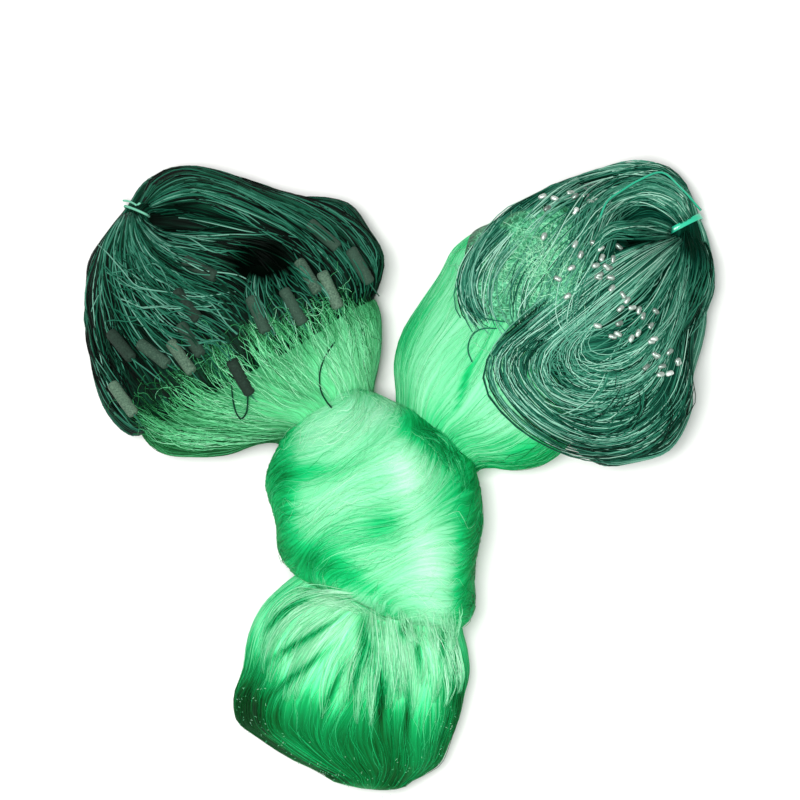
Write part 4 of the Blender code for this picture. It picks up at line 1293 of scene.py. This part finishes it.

# Fine nylon monofilament netting, gathered by the thousand meshes: silky, painted pale where it
# catches the light on a fold and painted deep green as shade in the gaps. Light passes between its
# threads, so it glows a little from within and hardly shines. A thread is about 0.2 mm; the streaks
# are drawn 1 mm wide, because single threads are too fine to show.
NETTING_STOPS = (
    (0.0, "#034A1A"), (0.12, "#046E33"), (0.22, "#048A45"), (0.32, "#0AA65A"), (0.40, "#14B86A"),
    (0.48, "#46C07E"), (0.56, "#6ACA92"), (0.67, "#7ED2A2"), (0.82, "#90DAAE"), (1.0, "#AEE4C2"),
)
sheen_green = linear("#38E890")
airy = dict(
    Specular_IOR_Level=0.05, Sheen_Weight=0.08, Sheen_Tint=sheen_green,
    Subsurface_Weight=0.45, Subsurface_Radius=(0.7, 1.0, 0.8), Subsurface_Scale=2.5 * MM,
)
silky = ((fibres, 0.26, 1.0 * MM), (pores, 0.12, 0.6 * MM))
netting = finish("silky_nylon_netting", NETTING_STOPS, silky, 0.25 * MM, 0.6, **airy)
# Threads that stand out of the lay: a copy of the netting's colours painted paler and clearer than
# the imported netting, to stand in for the light they catch all round. Slow noise changes their
# green along them.
THREAD_STOPS = (
    (0.0, "#034A1A"), (0.12, "#046830"), (0.22, "#048642"), (0.32, "#0AA659"), (0.42, "#20B86E"),
    (0.54, "#4ECA88"), (0.68, "#80DCA6"), (0.84, "#A0EABC"), (1.0, "#C2F6D6"),
)
clouded = ((pores, 0.16, 4 * MM),)
clear = dict(Specular_IOR_Level=0.05, Sheen_Weight=0.05, Sheen_Tint=sheen_green)
threads = finish("silky_nylon_threads", THREAD_STOPS, clouded, 0.05 * MM, 0.5, **clear)
# The same netting where its folds end in a tuft, in a copy of its colours with more contrast:
# painted palest at the crests, as highlight, and deepest at the free ends, as shade.
TUFT_STOPS = (
    (0.0, "#03260A"), (0.12, "#04501E"), (0.24, "#056C34"), (0.36, "#068646"), (0.46, "#0C9C54"),
    (0.56, "#30C47A"), (0.68, "#66E09E"), (0.82, "#8EF0BA"), (1.0, "#B8FCD2"),
)
tuft_netting = finish("tufted_nylon_netting", TUFT_STOPS, silky, 0.25 * MM, 0.6, **airy)
# The left arm's netting is drawn less tight: duller, softer, and greyer in its hollows.
LOOSE_STOPS = (
    (0.0, "#042A10"), (0.15, "#0A461F"), (0.30, "#226A3C"), (0.45, "#3E9862"), (0.60, "#5ECA8A"),
    (0.78, "#80DAA4"), (1.0, "#B0EAC6"),
)
downy = ((fibres, 0.28, 0.9 * MM), (pores, 0.12, 0.6 * MM))
loose_netting = finish("soft_nylon_netting", LOOSE_STOPS, downy, 0.25 * MM, 0.6, **airy)
LOOSE_THREAD_STOPS = (
    (0.0, "#04280E"), (0.15, "#0C4A22"), (0.30, "#24743F"), (0.45, "#409E62"), (0.60, "#5EC688"),
    (0.78, "#82DEA6"), (1.0, "#AEF2C8"),
)
loose_threads = finish("soft_nylon_threads", LOOSE_THREAD_STOPS, clouded, 0.05 * MM, 0.5, **clear)
# The same netting lying slack in one thin layer, its meshes curled over each other. Its threads are
# drawn 1 mm wide, five times as coarse as they are.
SLACK_STOPS = (
    (0.0, "#0B3F26"), (0.30, "#2A7C54"), (0.55, "#56B083"), (0.80, "#86DAAC"), (1.0, "#B8F4D0"),
)
slack_netting = finish(
    "tangled_nylon_netting", SLACK_STOPS, ((tangle, 0.32, 1.0 * MM), (pores, 0.70, 1.5 * MM)),
    0.3 * MM, 0.5, Specular_IOR_Level=0.2,
)
# Twisted green twine for the floats' side: dark and a little waxy, its three plies turning once in
# 4.2 mm and painted a little paler where they turn up, as a glint.
TWINE_STOPS = (
    (0.0, "#000803"), (0.2, "#02180F"), (0.4, "#073624"), (0.6, "#155842"), (0.8, "#347660"),
    (1.0, "#6CA28E"),
)
float_twine = finish(
    "waxed_green_twine", TWINE_STOPS, ((plies, 0.10, 4.2 * MM, 3), (pores, 0.08, 0.8 * MM)),
    0.15 * MM, 0.5, Specular_IOR_Level=0.08,
)
# The same twine deep in the hank, seen between the turns, where its low tone is painted shade:
# streaks a little wider than the line.
packed_twine = finish(
    "packed_green_twine", TWINE_STOPS, ((fibres, 1.3, 1.7 * MM),), 0.9 * MM, 0.6,
    Specular_IOR_Level=0.05,
)
# Thinner laid line for the sinkers' side: grey green, with pale glints painted where its plies turn
# up.
LAID_STOPS = (
    (0.0, "#002618"), (0.22, "#054434"), (0.42, "#1C644C"), (0.62, "#3A866C"), (0.80, "#64A68E"),
    (1.0, "#AADCC6"),
)
lead_twine = finish(
    "laid_grey_green_line", LAID_STOPS, ((plies, 0.10, 3.3 * MM, 3), (pores, 0.08, 0.7 * MM)),
    0.15 * MM, 0.5, Specular_IOR_Level=0.06,
)
packed_line = finish(
    "packed_grey_green_line", LAID_STOPS, ((fibres, 1.7, 1.2 * MM),), 0.8 * MM, 0.6,
    Specular_IOR_Level=0.05,
)
# Closed-cell foam, cut and rounded: dull grey green, speckled by pores. They are drawn 1.3 mm wide,
# several times as coarse as they are.
FOAM_STOPS = ((0.0, "#0E2218"), (0.35, "#2C4638"), (0.65, "#6A866F"), (1.0, "#98AE98"))
foam = finish(
    "closed_cell_foam", FOAM_STOPS, ((pores, 0.50, 1.3 * MM),), 0.3 * MM, 0.85,
    Specular_IOR_Level=0.3,
)
# Soft lead crimped on the line: bright where the tool squeezed it, dull in the dents.
CRIMP_STOPS = ((0.0, "#424E48"), (0.4, "#84968C"), (0.7, "#BECEC4"), (1.0, "#F0F8F2"))
lead = finish("crimped_lead", CRIMP_STOPS, ((pores, 0.9, 1.6 * MM),), 0.35 * MM, 0.34, Metallic=0.6)
# Flat polypropylene tape: glossy and smooth, with a faint unevenness in its green.
TAPE_STOPS = ((0.0, "#0C6E50"), (0.5, "#2FC39A"), (1.0, "#7FF0CF"))
tape = finish("glossy_polypropylene_tape", TAPE_STOPS, ((pores, 0.15, 0.8 * MM),), 0.05 * MM, 0.22)
# Soft cotton tie: pale, fluffy and dull. Its fluff is drawn coarser than it is.
TIE_STOPS = ((0.0, "#2E6E55"), (0.5, "#6DBB9C"), (1.0, "#B8E6D2"))
cotton = finish("pale_cotton_tie", TIE_STOPS, ((pores, 0.25, 0.6 * MM),), 0.2 * MM, 0.75)

wrap, tail = Bundle(WRAP, 7 * MM, wrap_relief), Bundle(TAIL, 8 * MM, tail_relief)
left_arm, right_arm = (Bundle(arm, 8 * MM, arm_relief) for arm in (LEFT_ARM, RIGHT_ARM))
float_fan, lead_fan = (Bundle(fan, 6 * MM, hank_relief) for fan in (FLOAT_FAN, LEAD_FAN))
float_skein, lead_skein = (Bundle(skein, 6 * MM) for skein in (FLOAT_SKEIN, LEAD_SKEIN))
float_eye, lead_eye = (Bundle(eye, 5 * MM) for eye in (FLOAT_EYE, LEAD_EYE))

# The netting: a combed skin for each of its four bundles, then the threads and locks over them.
ground = Ground(cad_box[0], cad_box[1])
rng = np.random.default_rng(11)
wrap_skin = skin(
    wrap, hooped, rng, fine=380, coarse=90, knots=14, depth=0.5 * MM, patches=WRAP_PATCHES,
    base=0.61,
)
tail_skin = skin(
    tail, fanned, rng, fine=360, coarse=54, knots=9, depth=0.7 * MM,
    patches=TAIL_PATCHES + TAIL_GAP_SHADE, base=0.68, clumps=(0.22, 3),
)
left_skin = skin(
    left_arm, lengthwise, rng, fine=280, coarse=42, knots=9, depth=0.5 * MM, patches=ARM_PATCHES,
    base=0.54,
)
right_skin = skin(
    right_arm, lengthwise, rng, fine=280, coarse=42, knots=9, depth=0.5 * MM, patches=ARM_PATCHES,
    base=0.55,
)
for bundle in (wrap, tail, left_arm, right_arm):
    ground.cover(bundle)
ground.ease(1, fill=1)
ground.paint((wrap_skin, tail_skin, left_skin, right_skin))


def as_skin(paths):
    """A loose thread's tone: that of the netting under it, with its painted light and shade,
    painted a little paler to make up for the thread's own shading.
    """
    return ground.tone_at(paths) + 0.08


def parted(paths):
    """The tone of the tail's pale locks, with painted shade deeper where a gap parts them."""
    return 0.86 + 0.9 * paler(paths, TAIL_GAP_SHADE)


over_the_top = np.radians((-20, 160))
wrap_fibres = [
    laid(
        wrap, hooped, rng, count=1150, length=11, across=(0.04, 0.97), start=over_the_top,
        reach=np.radians((20, 55)), wander=0.018, lift=0.6 * MM, thick=LOOSE_FIBRE, tone=as_skin,
        spread=0.08, proud=0.04,
    ),
    laid(
        wrap, hooped, rng, count=320, length=9, across=(0.04, 0.97), start=over_the_top,
        reach=np.radians((14, 34)), wander=0.026, lift=0.8 * MM, thick=LOOSE_FIBRE,
        tone=lambda paths: as_skin(paths) + 0.06, spread=0.12, proud=0.06,
    ),
    locks(
        ground, SHOULDER_LOCKS, rng, count=110, length=14, wander=3 * MM, trim=(0.5, 0.5),
        tone=as_skin, lift=0.8 * MM, bunches=7,
    ),
    locks(
        ground, HEM_LOCKS, rng, count=110, length=12, wander=3 * MM, trim=(0.3, 0.4), tone=as_skin,
        lift=1.5 * MM,
    ),
    locks(
        ground, HEM_FRINGE, rng, count=120, length=8, wander=2 * MM, trim=(0.5, 0.3), tone=0.78,
        lift=1.5 * MM, bunches=9,
    ),
]
tail_fibres = [
    laid(
        tail, fanned, rng, count=760, length=11, across=np.radians((-15, 195)), start=(0.06, 0.75),
        reach=(0.12, 0.36), wander=0.045, lift=0.7 * MM, thick=LOOSE_FIBRE, tone=as_skin,
        spread=0.09, proud=0.05,
    ),
    # The tail's locks are painted deeper towards their free ends, as shade.
    locks(
        ground, TAIL_LOCKS, rng, count=680, length=14, wander=1.2 * MM, trim=(0.35, 0.35),
        tone=parted, lift=2.5 * MM, spread=0.12, fade=0.34, bunches=30,
    ),
]
# Lint along the tail's rim.
spots, heading = along_route(rng, TAIL_RIM, 260, 9 * MM)
heading = heading + rng.uniform(-3, 3, 260)
size = rng.uniform(0.8, 2.4, 260) * MM
tail_fibres.append(curls(
    ground, rng, spots, heading, size, steps=4, bend=0.7, thread=0.3 * MM, lift=1.0 * MM, tone=0.62,
))
# Each arm has more threads low down the side that faces the front, painted in a deeper tone as
# shade.
left_fibres, right_fibres = [
    joined([
        laid(
            bundle, lengthwise, rng, count=520, length=11, across=np.radians((-10, 190)),
            start=(0.02, 0.6), reach=(0.15, 0.35), wander=0.06, lift=0.7 * MM, thick=LOOSE_FIBRE,
            tone=as_skin, spread=0.09, proud=0.06,
        ),
        laid(
            bundle, lengthwise, rng, count=170, length=11, across=np.radians(low_side),
            start=(0.02, 0.6), reach=(0.1, 0.25), wander=0.12, lift=1.2 * MM, thick=LOOSE_FIBRE,
            tone=tone, spread=0.16,
        ),
    ])
    for bundle, low_side, tone in ((left_arm, (138, 196), 0.34), (right_arm, (-16, 40), 0.30))
]
pieces = [
    piece("wrap_netting", wrap_skin, netting, "netting", "webbing"),
    piece("wrap_threads", joined(wrap_fibres), threads, "netting"),
    piece("tail_netting", tail_skin, tuft_netting, "netting"),
    piece("tail_threads", joined(tail_fibres), threads, "netting"),
    piece("left_arm_netting", left_skin, loose_netting, "netting"),
    piece("left_arm_threads", left_fibres, loose_threads, "netting"),
    piece("right_arm_netting", right_skin, netting, "netting"),
    piece("right_arm_threads", right_fibres, threads, "netting"),
]

# The floats: rounded rims, a small mouth at each end for the line, and nearly straight sides.
rng = np.random.default_rng(53)
bend = np.radians(np.linspace(0, 90, 6))
rim = -FLOAT_HALF + 2.2 * MM * (1 - np.cos(bend)), 2.5 * MM + 2.0 * MM * np.sin(bend)
profile = [(-FLOAT_HALF + 0.9 * MM, 0.7 * MM), (-FLOAT_HALF + 0.1 * MM, 1.2 * MM), *zip(*rim)]
sides = [(share * FLOAT_HALF, FLOAT_RADIUS) for share in np.linspace(-0.6, 0.6, 5)]
profile = profile + sides + mirrored(profile)
names, middles, axes = small_pieces("float_")
turned = barrels(middles, axes, profile, sides=20, rng=rng, tone=FLOAT_TONES, dent=0.03)
piece("foam_floats", turned, foam, "foam", *names)

# The float line's hank: a core of packed turns, lines along its sides, the layers of lines over it,
# the line that the floats are threaded on, and the lines that lie over the floats.
rng = np.random.default_rng(23)
# Painted shade: the core's tone is kept low, for the shade between the turns laid over it.
fan_core = skin(
    float_fan, lengthwise, rng, fine=330, coarse=36, knots=8, depth=1.2 * MM, patches=FLOAT_SHADE_PATCHES,
    base=0.20,
)
fan_core = fan_core._replace(points=sunk(fan_core.points))
skein_core = skin(
    float_skein, lengthwise, rng, fine=130, coarse=48, knots=8, depth=1.0 * MM, patches=(),
    base=0.22,
)
# Painted shade: the eye's turns are nearly black, for the shade deep in the eye.
eye_core = skin(
    float_eye, lengthwise, rng, fine=60, coarse=20, knots=5, depth=0.8 * MM, patches=(), base=0.05,
)
core = joined([fan_core, skein_core, eye_core])
ground.cover(float_fan, sunk)
ground.cover(float_skein)
ground.ease(1, fill=1)
lines = []
for bundle in (float_fan, float_skein):
    lines += side_lines(bundle, rng, 90, FLOAT_TURN, 0.5)
# Painted shade: each lower layer of turns deeper by 0.32, with the hank's patches of painted shade.
dark = dict(patches=FLOAT_SHADE_PATCHES, deeper=0.32)
for guides, count, length, wander, trim, tone, layers in (
    (FLOAT_UPPER, 116, 28, 4, (0.02, 0.25), 0.71, 4),
    (FLOAT_LOWER, 180, 26, 5, (0.03, 0.2), 0.70, 4),
    (FLOAT_MIDDLE, 75, 24, 4, (0.03, 0.15), 0.78, 3),
):
    lines += layered_lines(
        ground, guides, rng, count, length, FLOAT_TURN, wander * MM, trim, tone, layers, **dark
    )
lines.append(threaded(
    ground, middles, axes, FLOAT_HALF, reach=24 * MM, radius=FLOAT_TURN / 2, rng=rng, count=25,
    tone=0.7,
))
pile_floats(ground, middles, axes)
radial = dict(dive=(6, 3), drift=0.15, deeper=0.06, patches=FLOAT_SHADE_PATCHES)
for guides, count, length, wander, trim, tone, layers, lay in (
    (FLOAT_LOWER[:4], 44, 26, 6, (0.04, 0.45), 0.68, 2, {}),
    (FLOAT_UPPER, 44, 28, 4, (0.3, 0.12), 0.68, 2, {}),
    (FLOAT_CROSS, 26, 22, 8, (0.2, 0.2), 0.72, 2, dict(drift=0.8)),
    (FLOAT_RADIAL, 48, 16, 2.5, (0.05, 0.3), 0.78, 3, radial),
):
    lines += layered_lines(
        ground, guides, rng, count, length, FLOAT_TURN, wander * MM, trim, tone, layers, **lay
    )
pieces += [
    piece("float_line_core", core, packed_twine, "float_line", "float_line_hank"),
    piece("float_line_turns", joined(lines), float_twine, "float_line"),
]

# The lead line's hank: its core, side lines and first layers, the slack netting that shows through
# the turns, and the layers over that.
rng = np.random.default_rng(37)
# Painted shade: the core's tone is kept low, for the shade between the turns laid over it.
fan_core = skin(
    lead_fan, lengthwise, rng, fine=330, coarse=36, knots=8, depth=1.0 * MM, patches=LEAD_PATCHES,
    base=0.22,
)
skein_core = skin(
    lead_skein, lengthwise, rng, fine=130, coarse=48, knots=8, depth=0.9 * MM, patches=LEAD_PATCHES,
    base=0.20,
)
# Painted shade: the eye's turns are nearly black, for the shade deep in the eye.
eye_core = skin(
    lead_eye, lengthwise, rng, fine=60, coarse=20, knots=5, depth=0.8 * MM, patches=(), base=0.06,
)
core = joined([fan_core, skein_core, eye_core])
for bundle in (lead_fan, lead_skein, lead_eye):
    ground.cover(bundle)
ground.ease(1, fill=1)
lines = []
for bundle, count in ((lead_fan, 90), (lead_skein, 100)):
    lines += side_lines(bundle, rng, count, LEAD_TURN, 0.6)
# Painted shade: each lower layer of turns deeper by 0.24, with the hank's patches; the first
# layers, under the rest, are given deeper tones too.
grey = dict(dive=(8, 3), sides=3, patches=LEAD_PATCHES, drift=0.5, deeper=0.24)
for guides, count, length, wander, trim, tone in (
    (LEAD_HAIRPIN, 64, 30, 5, (0.1, 0.1), 0.50),
    (LEAD_RIM, 80, 26, 4, (0.02, 0.15), 0.62),
    (LEAD_INNER, 96, 24, 5, (0.02, 0.3), 0.63),
    (LEAD_RIGHT, 96, 24, 6, (0.02, 0.3), 0.60),
):
    lines += layered_lines(
        ground, guides, rng, count, length, LEAD_TURN, wander * MM, trim, tone, **grey
    )
over = copy.deepcopy(ground)
over.ease(24, fill=2)
over.z = np.maximum(over.z, ground.z)
shown = shown_netting(
    over, rng, SHOWN_THROUGH, rows=44, columns=150, lift=1.5 * MM, ragged=0.045, tone=0.51,
    contrast=0.14,
)
ground.pile(shown.points)
ground.ease(1)
spots = placed((SHOWN_THROUGH.x, SHOWN_THROUGH.y)) + rng.normal(0, 1, (420, 2)) * (24 * MM, 20 * MM)
heading, size = rng.uniform(0, 6.3, 420), rng.uniform(8, 24, 420) * MM
haze = curls(
    ground, rng, spots, heading, size, steps=11, bend=0.5, thread=0.4 * MM, lift=1.0 * MM,
    tone=0.80, spread=0.16,
)
bridged = copy.deepcopy(ground)  # what crosses the eye hangs over it
bridged.ease(6, fill=9)
for under, guides, count, length, wander, trim, tone, layers in (
    (bridged, LEAD_ACROSS, 34, 16, 3, (0.0, 0.3), 0.66, 2),
    (ground, LEAD_HAIRPIN, 176, 34, 5, (0.02, 0.25), 0.84, 4),
    (ground, LEAD_SWEEP, 72, 22, 6, (0.02, 0.3), 0.76, 3),
    (ground, LEAD_RIM, 30, 24, 6, (0.1, 0.1), 0.70, 2),
    (ground, LEAD_ROUND, 96, 30, 8, (0.02, 0.25), 0.74, 2),
):
    lines += layered_lines(
        under, guides, rng, count, length, LEAD_TURN, wander * MM, trim, tone, layers, **grey
    )
names, middles, axes = small_pieces("sinker_")
lines.append(threaded(
    ground, middles, axes, SINKER_HALF, reach=12 * MM, radius=LEAD_TURN / 2, rng=rng, count=15,
    tone=0.6,
))
pieces += [
    piece("lead_line_core", core, packed_line, "lead_line", "lead_line_hank"),
    piece("lead_line_turns", joined(lines), lead_twine, "lead_line"),
    piece("slack_meshes", joined([shown, haze]), slack_netting, "netting"),
]

# The sinkers: those that are solids, raised where drawn turns would bury them, and the rest.
profile = [
    (-SINKER_HALF, 0.5 * SINKER_RADIUS), (-0.9 * SINKER_HALF, 0.72 * SINKER_RADIUS),
    (-0.55 * SINKER_HALF, SINKER_RADIUS),
]
profile = profile + [(0, 1.02 * SINKER_RADIUS)] + mirrored(profile)
more = np.array(MORE_SINKERS)
spots, turn = placed(more[:, :2]), np.radians(more[:, 2])
crests = crest_near(ground, middles[:, :2]) + 0.4 * SINKER_RADIUS
middles[:, 2] = np.maximum(middles[:, 2], crests)
heights = crest_near(ground, spots) + 0.7 * SINKER_RADIUS
middles = np.vstack([middles, np.column_stack([spots, heights])])
axes = np.vstack([axes, np.stack([np.cos(turn), np.sin(turn), 0 * turn], axis=-1)])
tones = 0.56 + rng.normal(0, 0.12, len(middles))
crimped = barrels(middles, axes, profile, sides=12, rng=rng, tone=tones, dent=0.16)
piece("lead_sinkers", crimped, lead, "lead", *names)

# The netting's last meshes, climbing to the float line and laced along it; the locks are painted
# deeper as they climb under its turns, as shade.
rng = np.random.default_rng(41)
meshes = [
    locks(
        ground, LACED_LOCKS, rng, count=620, length=13, wander=4 * MM, trim=(0.6, 0.2), tone=0.72,
        lift=2.0 * MM, spread=0.19, fade=0.34, bunches=70,
    )
]
for count, spread, tone in ((120, 6, 0.52), (140, 13, 0.24)):
    spots, heading = along_route(rng, LACING, count, spread * MM)
    heading = heading + rng.uniform(0.6, 2.4, count)
    size = rng.uniform(9, 28, count) * MM
    meshes.append(
        curls(
            ground, rng, spots, heading, size, steps=13, bend=0.45, thread=0.34 * MM, lift=1.5 * MM,
            tone=tone, spread=0.18, patches=ARM_PATCHES,
        )
    )
pieces.append(piece("laced_meshes", joined(meshes), loose_threads, "netting"))

# The ties: a flat band with its free end over the turns, and a cord with two short ends.
low, high, edge = -STRAP_WIDTH / 2, STRAP_WIDTH / 2, 0.35 * MM
profile = (
    (0, low + edge), (edge, low), (STRAP_THICKNESS - edge, low), (STRAP_THICKNESS, low + edge),
    (STRAP_THICKNESS, high - edge), (STRAP_THICKNESS - edge, high), (edge, high), (0, high - edge),
)
band = hoop(*neck_ring(ground, LEAD_NECK, TIE_GAP, 96), profile, 0.46)
route = even(placed(TAPE_END), 30)[None]
free_end = strands(with_heights(route, draped_on(ground, route, 2.3 * MM, 2)), 0.9 * MM, 6, 0.28)
piece("hank_strap", joined([band, free_end]), tape, "strap", "lead_line_strap")
angle = np.radians(np.arange(0, 360, 36))
profile = np.column_stack([np.cos(angle), np.sin(angle)]) * TIE_CORD / 2
ring = hoop(*neck_ring(ground, FLOAT_NECK, TIE_GAP + TIE_CORD / 2, 96), profile, 0.45)
ends = np.stack([even(np.array(end, float) * MM + (*SHIFT, 0), 16) for end in CORD_ENDS])
ends = strands(ends, TIE_CORD / 2 * 0.8, 8, 0.5)
piece("hank_tie", joined([ring, ends]), cotton, "tie_cord", "float_line_tie")

# The stray loops of line, lying on the net and on the hanks.
ground.ease(1, fill=1)
for name, route in LOOPS.items():
    floats_side = name.startswith("float")
    diameter = FLOAT_LINE if floats_side else LEAD_LINE
    material, slot = (float_twine, "float_line") if floats_side else (lead_twine, "lead_line")
    plan = even(placed(route), 40)[None]
    path = with_heights(plan, draped_on(ground, plan, diameter / 2 + 0.3 * MM, 3))
    loop = piece(name + "_drawn", strands(path, diameter / 2, 8, 0.35), material, slot, name)
